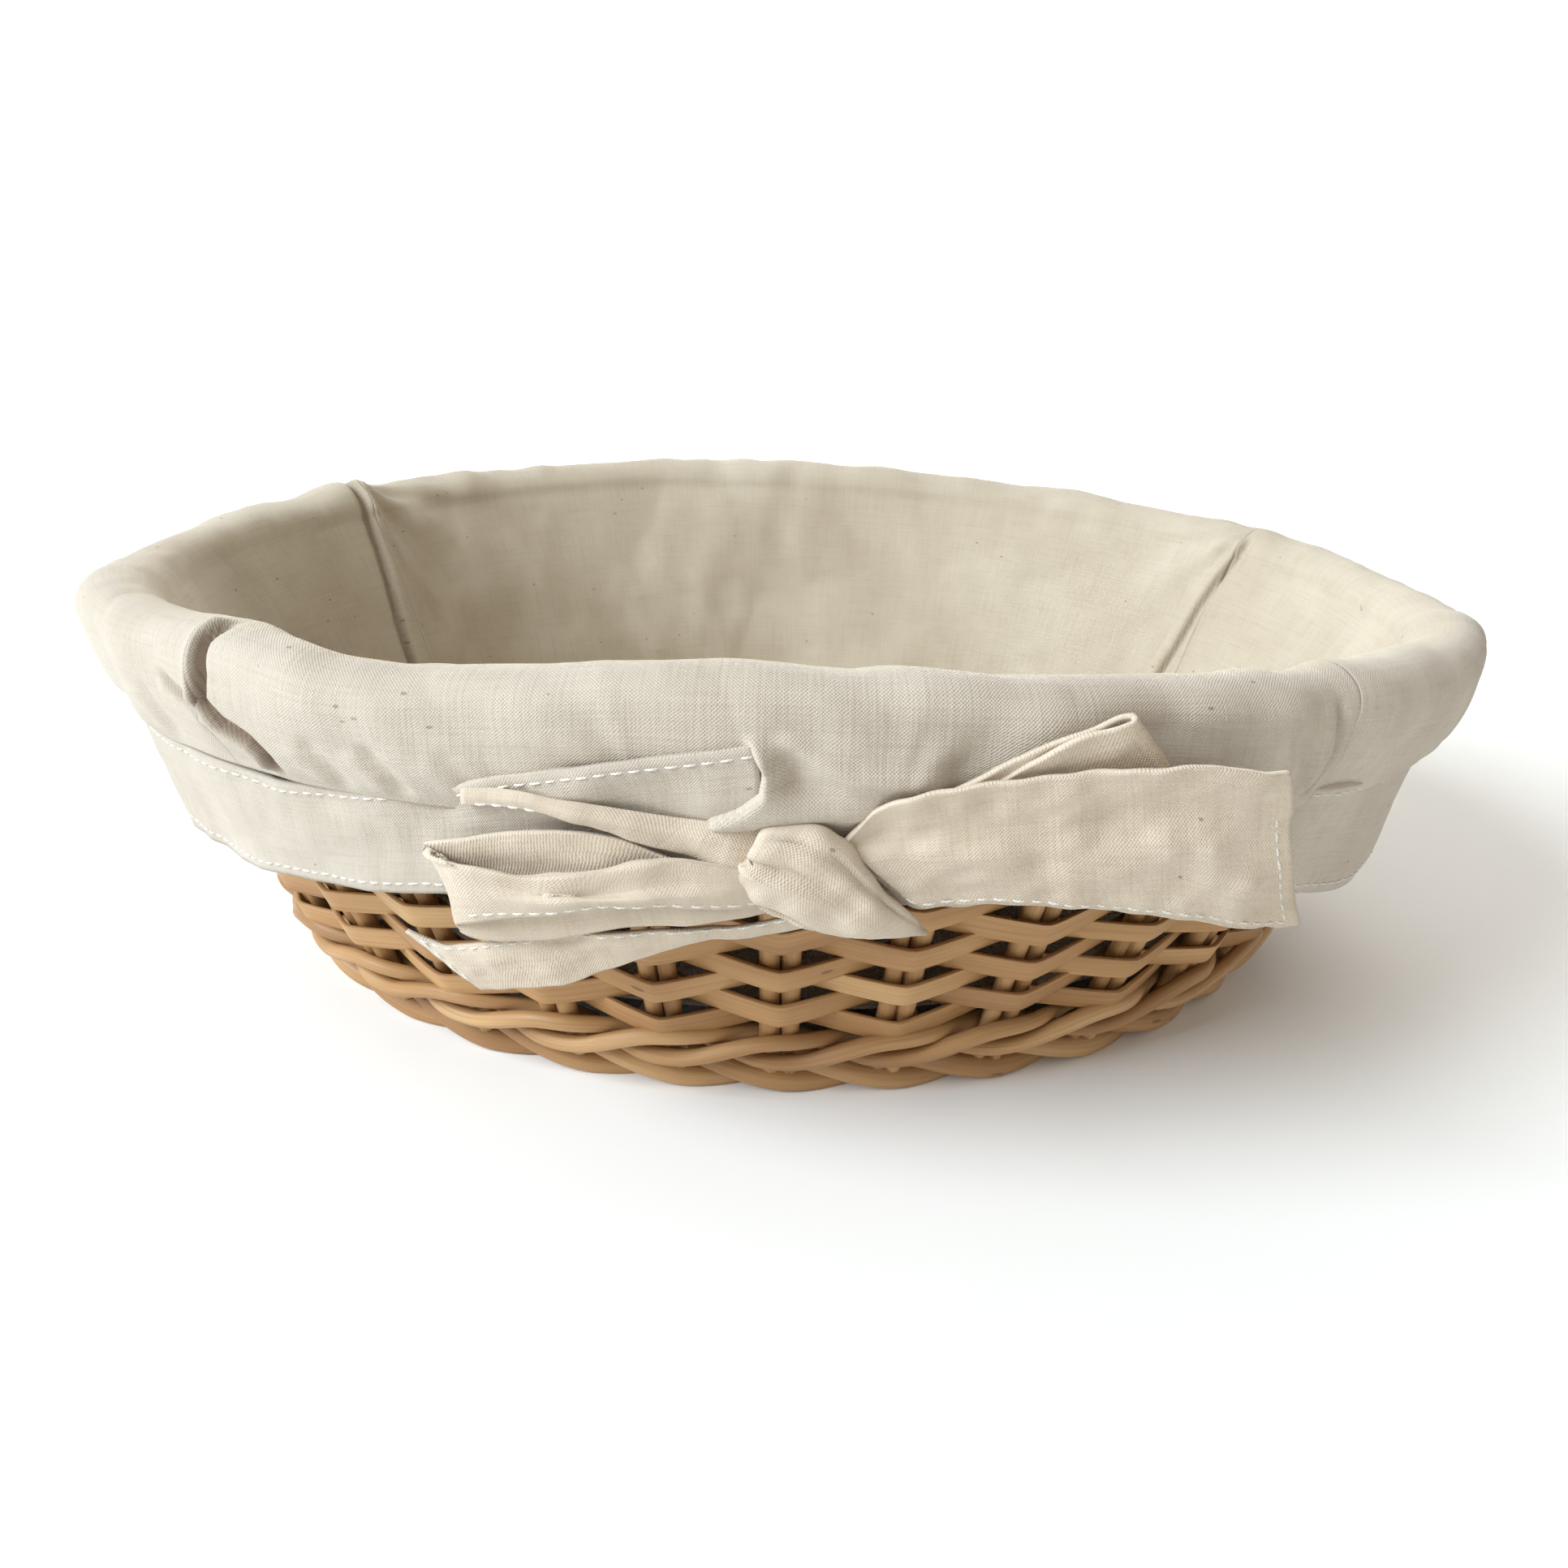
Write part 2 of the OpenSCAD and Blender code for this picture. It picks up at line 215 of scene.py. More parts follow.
def new_object(name, verts, faces, uvs, material, body):
    mesh = bpy.data.meshes.new(name)
    mesh.from_pydata((np.asarray(verts) * MM).tolist(), [], faces)
    layer = mesh.uv_layers.new(name="cloth")
    layer.data.foreach_set("uv", (np.asarray(uvs, dtype=np.float32) * MM).ravel())
    mesh.polygons.foreach_set("use_smooth", [True] * len(mesh.polygons))
    mesh.update()
    mesh.materials.append(material)
    obj = bpy.data.objects.new(name, mesh)
    bpy.context.scene.collection.objects.link(obj)
    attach(obj, body)
    return obj


class Patch:
    """Collects grids of points into one mesh."""

    def __init__(self):
        self.verts, self.faces, self.uvs, self.count = [], [], [], 0

    def grid(self, points, u, v, round_u=False, round_v=False):
        """points is (n, m, 3); u and v are lengths along it, one longer where it is round."""
        n, m = points.shape[:2]
        i, j = np.meshgrid(np.arange(n if round_u else n - 1), np.arange(m if round_v else m - 1),
                           indexing="ij")
        i, j = i.ravel(), j.ravel()
        k, l = (i + 1) % n, (j + 1) % m
        quads = np.stack([i * m + j, k * m + j, k * m + l, i * m + l], axis=1) + self.count
        u, v = np.asarray(u, float), np.asarray(v, float)
        corners = np.stack([np.stack([u[i], v[j]], 1), np.stack([u[i + 1], v[j]], 1),
                            np.stack([u[i + 1], v[j + 1]], 1), np.stack([u[i], v[j + 1]], 1)], 1)
        self.verts.append(points.reshape(-1, 3))
        self.faces.extend(quads.tolist())
        self.uvs.append(corners.reshape(-1, 2))
        self.count += n * m

    def cap(self, ring, uv=(0, 0)):
        """A fan over a ring of points, turned by the ring's own order."""
        centre = self.count
        n = len(ring)
        self.verts.append(np.vstack([ring.mean(0), ring]))
        for i in range(n):
            self.faces.append([centre, centre + 1 + i, centre + 1 + (i + 1) % n])
        self.uvs.append(np.tile(np.asarray(uv, float), (3 * n, 1)))
        self.count += n + 1

    def make(self, name, material, body, slot, tuck=None):
        """tuck, if given, is painted fold shade: how much darker each point is coloured, from 0 to 1, for the
        shadow deep in a fold.
        """
        obj = new_object(name, np.vstack(self.verts), self.faces, np.vstack(self.uvs),
                         material, body)
        # The tuck attribute is painted shade, read by the linen material
        if tuck is not None:
            obj.data.attributes.new("tuck", "FLOAT", "POINT").data.foreach_set("value", tuck.ravel())
        return obj


def tube(patch, path, radius, closed, up, sides=12, seed=0, flat_at=None):
    """A round rod along a path, its section set square to the path, with slight unevenness."""
    path = np.asarray(path, float)
    if closed:
        ahead = np.roll(path, -1, 0) - np.roll(path, 1, 0)
    else:
        ahead = np.gradient(path, axis=0)
    ahead /= np.linalg.norm(ahead, axis=1, keepdims=True)
    side = np.cross(up, ahead)
    side /= np.linalg.norm(side, axis=1, keepdims=True)
    top = np.cross(ahead, side)
    r = radius * (1 + 0.05 * waves(path, 45, seed)[:, None, None])
    angle = np.arange(sides) * 2 * math.pi / sides
    ring = np.cos(angle)[None, :, None] * side[:, None] + np.sin(angle)[None, :, None] * top[:, None]
    points = path[:, None] + r * ring
    if flat_at is not None:
        points[..., 2] = np.maximum(points[..., 2], flat_at)
    length = path_length(np.vstack([path, path[:1]]) if closed else path)
    shift = 1000 * random_for(seed, 3).uniform(0, 1, 2)
    around = np.linspace(0, 2 * math.pi * radius, sides + 1)
    patch.grid(points, length + shift[0], around + shift[1], closed, True)
    if not closed:
        patch.cap(points[0][::-1], shift)
        patch.cap(points[-1], shift)


# ---- Materials ----

def node_material(name):
    material = bpy.data.materials.new(name)
    material.use_nodes = True
    tree = material.node_tree
    return material, tree, tree.nodes["Principled BSDF"]


def set_inputs(tree, node, inputs):
    for key, value in inputs.items():
        if isinstance(value, bpy.types.NodeSocket):
            tree.links.new(value, node.inputs[key])
        else:
            node.inputs[key].default_value = value


def add(tree, kind, inputs=None, **settings):
    node = tree.nodes.new(kind)
    for key, value in settings.items():
        setattr(node, key, value)
    set_inputs(tree, node, inputs or {})
    return node


def math_node(tree, operation, a, b=0.0, c=0.0):
    return add(tree, "ShaderNodeMath", {0: a, 1: b, 2: c}, operation=operation).outputs[0]


def ramp(tree, source, stops):
    node = add(tree, "ShaderNodeValToRGB", {0: source})
    elements = node.color_ramp.elements
    while len(elements) < len(stops):
        elements.new(0.5)
    for element, (place, colour) in zip(elements, stops):
        element.position = place
        element.color = (*colour, 1)
    return node.outputs[0]


def mix(tree, share, a, b, blend="MIX"):
    a, b = (c if isinstance(c, bpy.types.NodeSocket) else (*c, 1) for c in (a, b))
    return add(tree, "ShaderNodeMix", {0: share, 6: a, 7: b}, data_type="RGBA",
               blend_type=blend).outputs[2]


def grain_coordinates(tree, along, across):
    """The piece's own length and width coordinates, scaled."""
    uv = add(tree, "ShaderNodeUVMap", uv_map="cloth")
    return add(tree, "ShaderNodeMapping", {"Vector": uv.outputs[0], "Scale": (along, across, 1)}).outputs[0]


def noise(tree, vector, scale=1.0, detail=3.0, rough=0.5):
    return add(tree, "ShaderNodeTexNoise",
               {"Vector": vector, "Scale": scale, "Detail": detail, "Roughness": rough}).outputs[0]


def linen(name, light, dark, shade):
    """Plain-weave cloth: threads both ways, slubs, a soft mottle and dark specks. It has painted
    shade: it is coloured dark brown where the mesh's tuck attribute marks the shadow deep in a fold."""
    material, tree, shader = node_material(name)
    place = add(tree, "ShaderNodeTexCoord").outputs["Object"]
    flat = grain_coordinates(tree, 1, 1)
    parts = add(tree, "ShaderNodeSeparateXYZ", {0: flat})
    waver = noise(tree, place, 260, 2)
    threads = []
    for axis in (0, 1):
        at = math_node(tree, "MULTIPLY_ADD", waver, 0.0006, parts.outputs[axis])
        threads.append(math_node(tree, "SINE", math_node(tree, "MULTIPLY", at, 2 * math.pi / 0.00062)))
    weave = math_node(tree, "MULTIPLY", threads[0], threads[1])
    slub_u = noise(tree, grain_coordinates(tree, 60, 1500), 1, 3, 0.6)
    slub_v = noise(tree, grain_coordinates(tree, 1500, 60), 1, 3, 0.6)
    slubs = math_node(tree, "ADD", slub_u, slub_v)
    mottle = noise(tree, place, 28, 4, 0.6)
    base = ramp(tree, mottle, [(0.3, dark), (0.7, light)])
    streaks = ramp(tree, math_node(tree, "MULTIPLY", slubs, 0.5),
                   [(0.34, shade), (0.5, (1, 1, 1)), (0.66, (1.06, 1.05, 1.03))])
    colour = mix(tree, 0.55, base, streaks, "MULTIPLY")
    fibre = ramp(tree, math_node(tree, "MULTIPLY_ADD", weave, 0.5, 0.5),
                 [(0.0, (0.86, 0.85, 0.83)), (1.0, (1.03, 1.03, 1.03))])
    colour = mix(tree, 0.6, colour, fibre, "MULTIPLY")
    cells = add(tree, "ShaderNodeTexVoronoi", {"Vector": grain_coordinates(tree, 150, 260), "Scale": 1.0})
    small = math_node(tree, "LESS_THAN", cells.outputs["Distance"], 0.085)
    some = math_node(tree, "GREATER_THAN", noise(tree, place, 95, 1), 0.56)
    speck = math_node(tree, "MULTIPLY", small, some)
    colour = mix(tree, math_node(tree, "MULTIPLY", speck, 0.55), colour, (0.2, 0.15, 0.1))
    # Painted shade: dark brown mixed in by the tuck attribute, for the shadow deep in a fold
    tuck = add(tree, "ShaderNodeAttribute", attribute_name="tuck").outputs["Fac"]
    colour = mix(tree, tuck, colour, (0.12, 0.065, 0.03))
    height = math_node(tree, "ADD", math_node(tree, "MULTIPLY", weave, 0.35), slubs)
    bump = add(tree, "ShaderNodeBump", {"Height": height, "Distance": 0.00022, "Strength": 0.7})
    set_inputs(tree, shader, {"Base Color": colour, "Roughness": 0.92, "Specular IOR Level": 0.2,
                              "Sheen Weight": 0.18, "Sheen Roughness": 0.5, "Normal": bump.outputs[0]})
    return material


def willow(name, pale, mid, dark, roughness, stretch):
    """Peeled willow: long grain, broad changes of tone, and small knots."""
    material, tree, shader = node_material(name)
    fine = noise(tree, grain_coordinates(tree, 25, 1500), 1, 4, 0.6)
    broad = noise(tree, grain_coordinates(tree, stretch, 60), 1, 2, 0.5)
    tone = ramp(tree, broad, [(0.28, dark), (0.5, mid), (0.72, pale)])
    lines = ramp(tree, fine, [(0.3, (0.72, 0.66, 0.58)), (0.55, (1, 1, 1)), (0.75, (1.08, 1.06, 1.02))])
    colour = mix(tree, 0.6, tone, lines, "MULTIPLY")
    cells = add(tree, "ShaderNodeTexVoronoi", {"Vector": grain_coordinates(tree, 45, 190), "Scale": 1.0})
    knot = math_node(tree, "LESS_THAN", cells.outputs["Distance"], 0.075)
    colour = mix(tree, math_node(tree, "MULTIPLY", knot, 0.6), colour, (0.12, 0.06, 0.03))
    rough = ramp(tree, fine, [(0.3, (roughness + 0.12,) * 3), (0.7, (roughness - 0.08,) * 3)])
    bump = add(tree, "ShaderNodeBump", {"Height": fine, "Distance": 0.00025, "Strength": 0.6})
    set_inputs(tree, shader, {"Base Color": colour, "Roughness": rough, "Specular IOR Level": 0.4,
                              "Normal": bump.outputs[0]})
    return material


def thread(name):
    """White sewing thread, twisted."""
    material, tree, shader = node_material(name)
    twist = add(tree, "ShaderNodeTexWave", {"Vector": grain_coordinates(tree, 1, 1), "Scale": 700.0},
                bands_direction="DIAGONAL")
    colour = ramp(tree, twist.outputs["Fac"], [(0.0, (0.62, 0.60, 0.55)), (1.0, (0.85, 0.84, 0.80))])
    set_inputs(tree, shader, {"Base Color": colour, "Roughness": 0.7})
    return material


def paper_floor(name):
    material, tree, shader = node_material(name)
    place = add(tree, "ShaderNodeTexCoord").outputs["Object"]
    colour = ramp(tree, noise(tree, place, 3, 2), [(0.3, (0.9, 0.9, 0.89)), (0.7, (0.93, 0.93, 0.925))])
    set_inputs(tree, shader, {"Base Color": colour, "Roughness": 0.8})
    return material


CLOTH_OUT = linen("linen_outside", (0.625, 0.56, 0.48), (0.52, 0.455, 0.38), (0.80, 0.76, 0.70))
CLOTH_IN = linen("linen_inside", (0.63, 0.565, 0.46), (0.53, 0.455, 0.355), (0.82, 0.78, 0.71))
CLOTH_TIE = linen("linen_tie", (0.74, 0.645, 0.53), (0.62, 0.52, 0.41), (0.84, 0.79, 0.73))
WILLOW_FLAT = willow("split_willow", (0.63, 0.40, 0.19), (0.46, 0.255, 0.105),
                     (0.27, 0.13, 0.05), 0.5, 9)
WILLOW_ROD = willow("willow_rod", (0.58, 0.365, 0.175), (0.43, 0.24, 0.10),
                    (0.27, 0.135, 0.053), 0.48, 14)
THREAD = thread("white_thread")


# ---- Camera, floor and light ----

WORLD_LIGHT = 0.51
KEY_POWER = 132
BACKDROP_POWER = 60
CAMERA_LENS = 26.09
CAMERA_AWAY = 317.4  # mm from the point looked at
CAMERA_HEIGHT = 0.421  # radians above level
CAMERA_ROLL = 0.021
CAMERA_AIM = 31  # mm above the floor


def make_camera():
    data = bpy.data.cameras.new("camera")
    data.lens = CAMERA_LENS
    data.sensor_width = 36
    camera = bpy.data.objects.new("camera", data)
    bpy.context.scene.collection.objects.link(camera)
    bpy.context.scene.camera = camera
    away = Vector((0, -math.cos(CAMERA_HEIGHT), math.sin(CAMERA_HEIGHT)))
    camera.location = Vector((0, 0, CAMERA_AIM * MM)) + away * CAMERA_AWAY * MM
    camera.rotation_mode = "QUATERNION"
    camera.rotation_quaternion = away.to_track_quat("Z", "Y") @ Quaternion((0, 0, 1), CAMERA_ROLL)


def make_light(name, place, aim, size, power, colour, spread=180):
    data = bpy.data.lights.new(name, "AREA")
    data.shape = "DISK"
    data.size = size
    data.energy = power
    data.color = colour
    data.spread = math.radians(spread)
    lamp = bpy.data.objects.new(name, data)
    lamp.location = place
    lamp.rotation_euler = (Vector(place) - Vector(aim)).to_track_quat("Z", "Y").to_euler()
    bpy.context.scene.collection.objects.link(lamp)


def make_stage():
    """A sheet of white paper that lies under the basket and rises far behind it."""
    flat_end, bend, top, side = 1.6, 0.6, 2.6, 8.0
    profile = [(-6.0, 0.0), (flat_end, 0.0)]
    profile += [(flat_end + bend * math.sin(a), bend - bend * math.cos(a))
                for a in np.linspace(0.05, math.pi / 2, 24)]
    profile.append((flat_end + bend, top))
    verts = [(x, y, z) for y, z in profile for x in (-side, side)]
    faces = [(2 * i, 2 * i + 1, 2 * i + 3, 2 * i + 2) for i in range(len(profile) - 1)]
    mesh = bpy.data.meshes.new("floor")
    mesh.from_pydata(verts, [], faces)
    mesh.polygons.foreach_set("use_smooth", [True] * len(faces))
    mesh.materials.append(paper_floor("floor_paper"))
    floor = bpy.data.objects.new("floor", mesh)
    bpy.context.scene.collection.objects.link(floor)
    world = bpy.data.worlds.new("studio")
    world.use_nodes = True
    background = world.node_tree.nodes["Background"]
    background.inputs[0].default_value = (1.0, 0.93, 0.81, 1)
    background.inputs[1].default_value = WORLD_LIGHT
    bpy.context.scene.world = world
    aim = (0, 0, 0.05)
    make_light("key", (-2.3, -1.0, 1.8), aim, 1.9, KEY_POWER, (0.83, 0.925, 1.0))
    make_light("backdrop", (0, 0.3, 2.4), (0, 2.1, 0.3), 0.8, BACKDROP_POWER, (1.0, 1.0, 1.0), 80)
    bpy.context.scene.view_settings.view_transform = "Standard"


# ---- Willow basket ----

def stake_angle(j):
    return even((j + 0.5) * 2 * math.pi / STAKES)


def make_stakes():
    """Pairs of upright stakes, each stake leaning a little its own way."""
    patch = Patch()
    for j, t in enumerate(stake_angle(np.arange(STAKES))):
        rng = random_for(11, j)
        z = np.linspace(5.5, rim_z(t) + 1, 14)
        a, b = wall_axes(50)
        n = np.array([b * math.cos(t), a * math.sin(t), 0])
        n /= np.linalg.norm(n)
        tangent = np.array([-n[1], n[0], 0])
        for e in (-1, 1):
            lean = rng.uniform(-0.5, 0.5)
            aside = e * (STAKE_R + 0.1) + lean * (z[:, None] - 50) / 45
            path = on_wall(t, z) + tangent * aside
            tube(patch, path, STAKE_R * rng.uniform(0.92, 1.06), False, n, 12, 100 + 2 * j + (e > 0))
    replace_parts(patch.make("side_stakes_round", WILLOW_ROD, "basket", "willow_rod"), "side_stakes")


def flat_section(height, thickness, edge=0.42):
    """Section of a split weaver, flat with narrow round edges: height and outward shift in turn."""
    h, t = height / 2, thickness / 2
    quarter = [(h, t - edge), (h - 0.3 * edge, t - 0.3 * edge), (h - edge, t), (h - 2.2 * edge, t)]
    upper = quarter + [(0, t)] + [(-a, b) for a, b in quarter[::-1]]
    ring = upper + [(-a, -b) for a, b in upper]
    return np.array(ring).T


def weave_shift(x):
    """How far a weaver lies outside the wall at x stakes along: it bends at each pair."""
    near = (x + 1) % 2 - 1
    return WEAVE_OUT * (1 - 2 * np.sqrt(near**2 + 0.04**2)) * (1 + 0.06 * (np.abs(near) < 0.5))


def make_weaver_rows():
    """Flat weavers, each behind one pair of stakes and in front of the next."""
    steps = 16
    x = np.arange(STAKES * steps) / steps
    t = stake_angle(x)
    for row in range(1, ROWS + 1):
        rng = random_for(21, row)
        patch = Patch()
        wobble = rng.uniform(-0.6, 0.6, STAKES)
        wobble = np.interp(x, np.arange(STAKES + 1), np.append(wobble, wobble[0]))
        z = ROW_START + (row - 1) * row_pitch(t) + wobble
        height = row_pitch(t) * 1.06 * (1 + 0.05 * waves(on_wall(t, 50.0), 90, 40 + row))
        rise, thick = flat_section(1.0, 1.5, 0.12)
        thick = thick / np.abs(thick).max() * WEAVER_HALF
        d = weave_shift(x + row)
        z = z - WEAVE_DIP * d / WEAVE_OUT
        points = np.stack([on_wall(t, z + height * r, d + o) for r, o in zip(rise, thick)], axis=1)
        centre = on_wall(t, z, d)
        length = path_length(np.vstack([centre, centre[:1]]))
        around = np.linspace(0, 16, len(rise) + 1)
        shift = 1000 * rng.uniform(0, 1, 2)
        patch.grid(points, length + shift[0], around + shift[1], True, True)
        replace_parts(patch.make(f"weaver_{row}", WILLOW_FLAT, "basket", "split_willow"),
                    f"weaver_row_{row}")


def border_path(k, axes, centre_z, turn_r, n=400, turns=-10):
    """The path of rod k of three that twist round one another along an oval."""
    u = np.arange(n) * 2 * math.pi / n
    t = even(u)
    angle = turns * u + math.radians(120 * (k - 1) + 270)
    return oval(axes[0], axes[1], t, centre_z(t) + turn_r * np.sin(angle), turn_r * np.cos(angle))


def make_borders():
    up = np.array([0, 0, 1.0])
    for k in (1, 2, 3):
        foot = Patch()
        path = border_path(k, FOOT, lambda t: FOOT_Z + 0 * t, FOOT_TURN_R)
        tube(foot, path, FOOT_ROD_R, True, up, 14, 200 + k, flat_at=0.0)
        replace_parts(foot.make(f"foot_border_{k}", WILLOW_ROD, "basket", "willow_rod"),
                    f"foot_rod_{k}")
        rim = Patch()
        tube(rim, border_path(k, RIM, rim_z, RIM_TURN_R), RIM_ROD_R, True, up, 12, 210 + k)
        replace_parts(rim.make(f"rim_border_{k}", WILLOW_ROD, "basket", "willow_rod"), f"rim_rod_{k}")


def make_waling():
    """Three rods, each behind one pair of stakes, then in front of two, low and then high."""
    steps = 14
    x = np.arange(STAKES * steps) / steps
    t = stake_angle(x)
    for k in (1, 2, 3):
        place = (x + k) % 3
        d = np.interp(place, [0, 0.18, 0.82, 1.5, 2.18, 2.82, 3],
                      [-3.8, -3.6, 3.6, 4.2, 3.6, -3.6, -3.8])
        up = np.interp(place, [0, 0.18, 0.82, 1.18, 1.82, 2.18, 2.82, 3],
                       [0, -0.4, -3.2, -3.2, 3.0, 3.2, 0.4, 0])
        soft = bell(np.arange(-5, 6), 2.2)
        soft /= soft.sum()
        d, up = (np.convolve(np.concatenate([v[-5:], v, v[:5]]), soft, "valid") for v in (d, up))
        z = WALING_Z + up + 0.3 * waves(on_wall(t, 15.0), 70, 230 + k)
        patch = Patch()
        tube(patch, on_wall(t, z, d), WALING_R, True, np.array([0, 0, 1.0]), 12, 232 + k)
        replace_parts(patch.make(f"waling_{k}", WILLOW_ROD, "basket", "willow_rod"), f"waling_rod_{k}")


def make_base():
    """Long sticks through cross sticks, and rounds of weave over and under them."""
    a, b = BASE_STICKS
    up = np.array([0, 0, 1.0])
    longs, crosses = Patch(), Patch()
    for i in range(-1, 2):
        half = a * math.sqrt(1 - (abs(i * LONG_PITCH) / b) ** 2) - 1
        path = [[x, i * LONG_PITCH, BASE_Z] for x in np.linspace(-half, half, 40)]
        tube(longs, path, LONG_STICK_R, False, up, 12, 250 + i)
    for i in range(-2, 3):
        half = b * math.sqrt(1 - (abs(i * CROSS_PITCH) / a) ** 2) - 1
        path = [[i * CROSS_PITCH, y, BASE_Z] for y in np.linspace(-half, half, 30)]
        tube(crosses, path, CROSS_STICK_R, False, up, 12, 260 + i)
    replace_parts(longs.make("base_sticks_long", WILLOW_ROD, "basket", "willow_rod"), "base_long_sticks")
    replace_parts(crosses.make("base_sticks_cross", WILLOW_ROD, "basket", "willow_rod"), "base_cross_sticks")
    weave = Patch()
    for k, share in enumerate(np.arange(0.90, 0.32, -0.04)):
        ra, rb = a * share, b * share
        quarter = [math.asin(LONG_PITCH / rb)] if rb > LONG_PITCH else []
        quarter += [math.acos(m * CROSS_PITCH / ra) for m in (2, 1) if m * CROSS_PITCH < ra]
        first = [0.0, *sorted(quarter), math.pi / 2]
        half_turn = first + [math.pi - q for q in reversed(first[1:-1])]
        at = np.array(half_turn + [q + math.pi for q in half_turn] + [2 * math.pi])
        t = np.linspace(0, 2 * math.pi, 280, endpoint=False)
        x = np.interp(t, at, np.arange(len(at)))
        z = BASE_Z + 3.0 * np.cos(math.pi * (x + k + 1))
        points = []
        for c in np.arange(10) * math.pi / 5:
            points.append(oval(ra, rb, t, z + 0.85 * np.sin(c), 1.55 * np.cos(c)))
        ring = np.stack(points, axis=1)
        length = path_length(np.vstack([ring[:, 0], ring[:1, 0]]))
        weave.grid(ring, length + 37 * k, np.linspace(0, 8, 11) + 11 * k, True, True)
    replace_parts(weave.make("base_weave", WILLOW_FLAT, "basket", "split_willow"),
                *[f"base_ring_{k}" for k in range(1, 9)])


# ---- Liner ----

def cuff_face(t, z):
    """The cuff's smooth outer face at a height between the band's even line and the rim."""
    z_rim = rim_z(t)
    k = ((z_rim - z) / (z_rim - seam_z(t)))[..., None]
    top, low = oval(*RIM, t, z_rim, CUFF_R), on_wall(t, seam_z(t), BAND_OUT)
    point = top + (low - top) * k
    return point + 1.6 * np.sin(math.pi * np.clip(k, 0, 1)) * outward(point)


def outward(point):
    """Unit vectors that point level out of the basket."""
    way = point * [1 / WALL_TOP[0] ** 2, 1 / WALL_TOP[1] ** 2, 0]
    return way / np.linalg.norm(way, axis=-1, keepdims=True)


def liner_grid():
    """The liner's cloth before it creases, from the floor over the rim to the band, with each
    point's distance along it from the crest: below 0 inside, above 0 outside."""
    t = even(np.arange(COLUMNS) * 2 * math.pi / COLUMNS)
    z_rim = rim_z(t)
    inner_r = CUFF_R + 2.2
    floor_edge = oval(*FLOOR_OVAL, t, FLOOR_Z)
    inside_top = oval(*RIM, t, z_rim, -inner_r)
    columns, s = [], []
    for k in np.linspace(0, 1, INSIDE_STEPS, endpoint=False):
        sag = 0.8 * (1 - k**6) + 2.6 * math.sin(math.pi * k) ** 0.7
        point = floor_edge + (inside_top - floor_edge) * k
        columns.append(point - sag * outward(point))
        s.append(-10.7 - 74 * (1 - k))
    for c in np.linspace(math.pi, 0, ARC_STEPS, endpoint=False):
        r = CUFF_R if c < math.pi / 2 else inner_r
        columns.append(oval(*RIM, t, z_rim + CUFF_R * math.sin(c), r * math.cos(c)))
        s.append(-(c - math.pi / 2) * CUFF_R)
    for k in np.linspace(0, 1, OUTSIDE_STEPS):
        columns.append(cuff_face(t, z_rim + (seam_z(t) - z_rim) * k))
        s.append(11.15 + 21 * k)
    return t, np.stack(columns, axis=1), np.array(s)


def rim_length():
    """Length along the rim up to each column of the liner's grid."""
    t = even(np.arange(COLUMNS + 1) * 2 * math.pi / COLUMNS)
    return path_length(oval(*RIM, t, 0.0))


RIM_LENGTH = rim_length()


def along_rim(degrees):
    """Millimetres along the rim at an angle in degrees."""
    u = np.linspace(0, 360, COLUMNS + 1)
    return np.interp(np.asarray(degrees) % 360, np.degrees(even(np.radians(u))), RIM_LENGTH)


FOLD_SHADES = []  # how much painted shade each marked fold puts on every point of the liner, for the shadow in the fold


def crease(along, down, route, width, depth, ridge=0.0, ridge_width=3.0, shoulder=1, fold_shade=0.0):
    """A valley along a route of (degrees, mm from the crest), with a ridge on one shoulder.
    The last argument is painted shade: how dark the cloth is coloured where it is tucked in."""
    p = np.array([[along_rim(a), s] for a, s in route])
    best = np.full(along.shape, 1e9)
    signed = np.zeros(along.shape)
    total = path_length(p)
    where = np.zeros(along.shape)
    for q0, q1, start in zip(p[:-1], p[1:], total[:-1]):
        v = q1 - q0
        size = np.linalg.norm(v)
        k = np.clip(((along - q0[0]) * v[0] + (down - q0[1]) * v[1]) / size**2, 0, 1)
        dx, dy = along - q0[0] - k * v[0], down - q0[1] - k * v[1]
        d = np.hypot(dx, dy)
        closer = d < best
        best = np.where(closer, d, best)
        signed = np.where(closer, np.sign(v[0] * dy - v[1] * dx) * d, signed)
        where = np.where(closer, start + k * size, where)
    ends = smooth(where, 0, 4) * smooth(total[-1] - where, 0, 4)
    # Painted shade: a dark band beside the fold's middle, where the shadow in the tuck falls
    if fold_shade:
        off_middle = (signed * shoulder - 0.6 * width) / (0.9 * width)
        FOLD_SHADES.append(fold_shade * bell(off_middle, 1) * ends)
    fold = -depth * bell(best, width)
    lift = ridge * bell(signed * shoulder - ridge_width, ridge_width)
    return (fold + lift * (best < 5 * ridge_width)) * ends


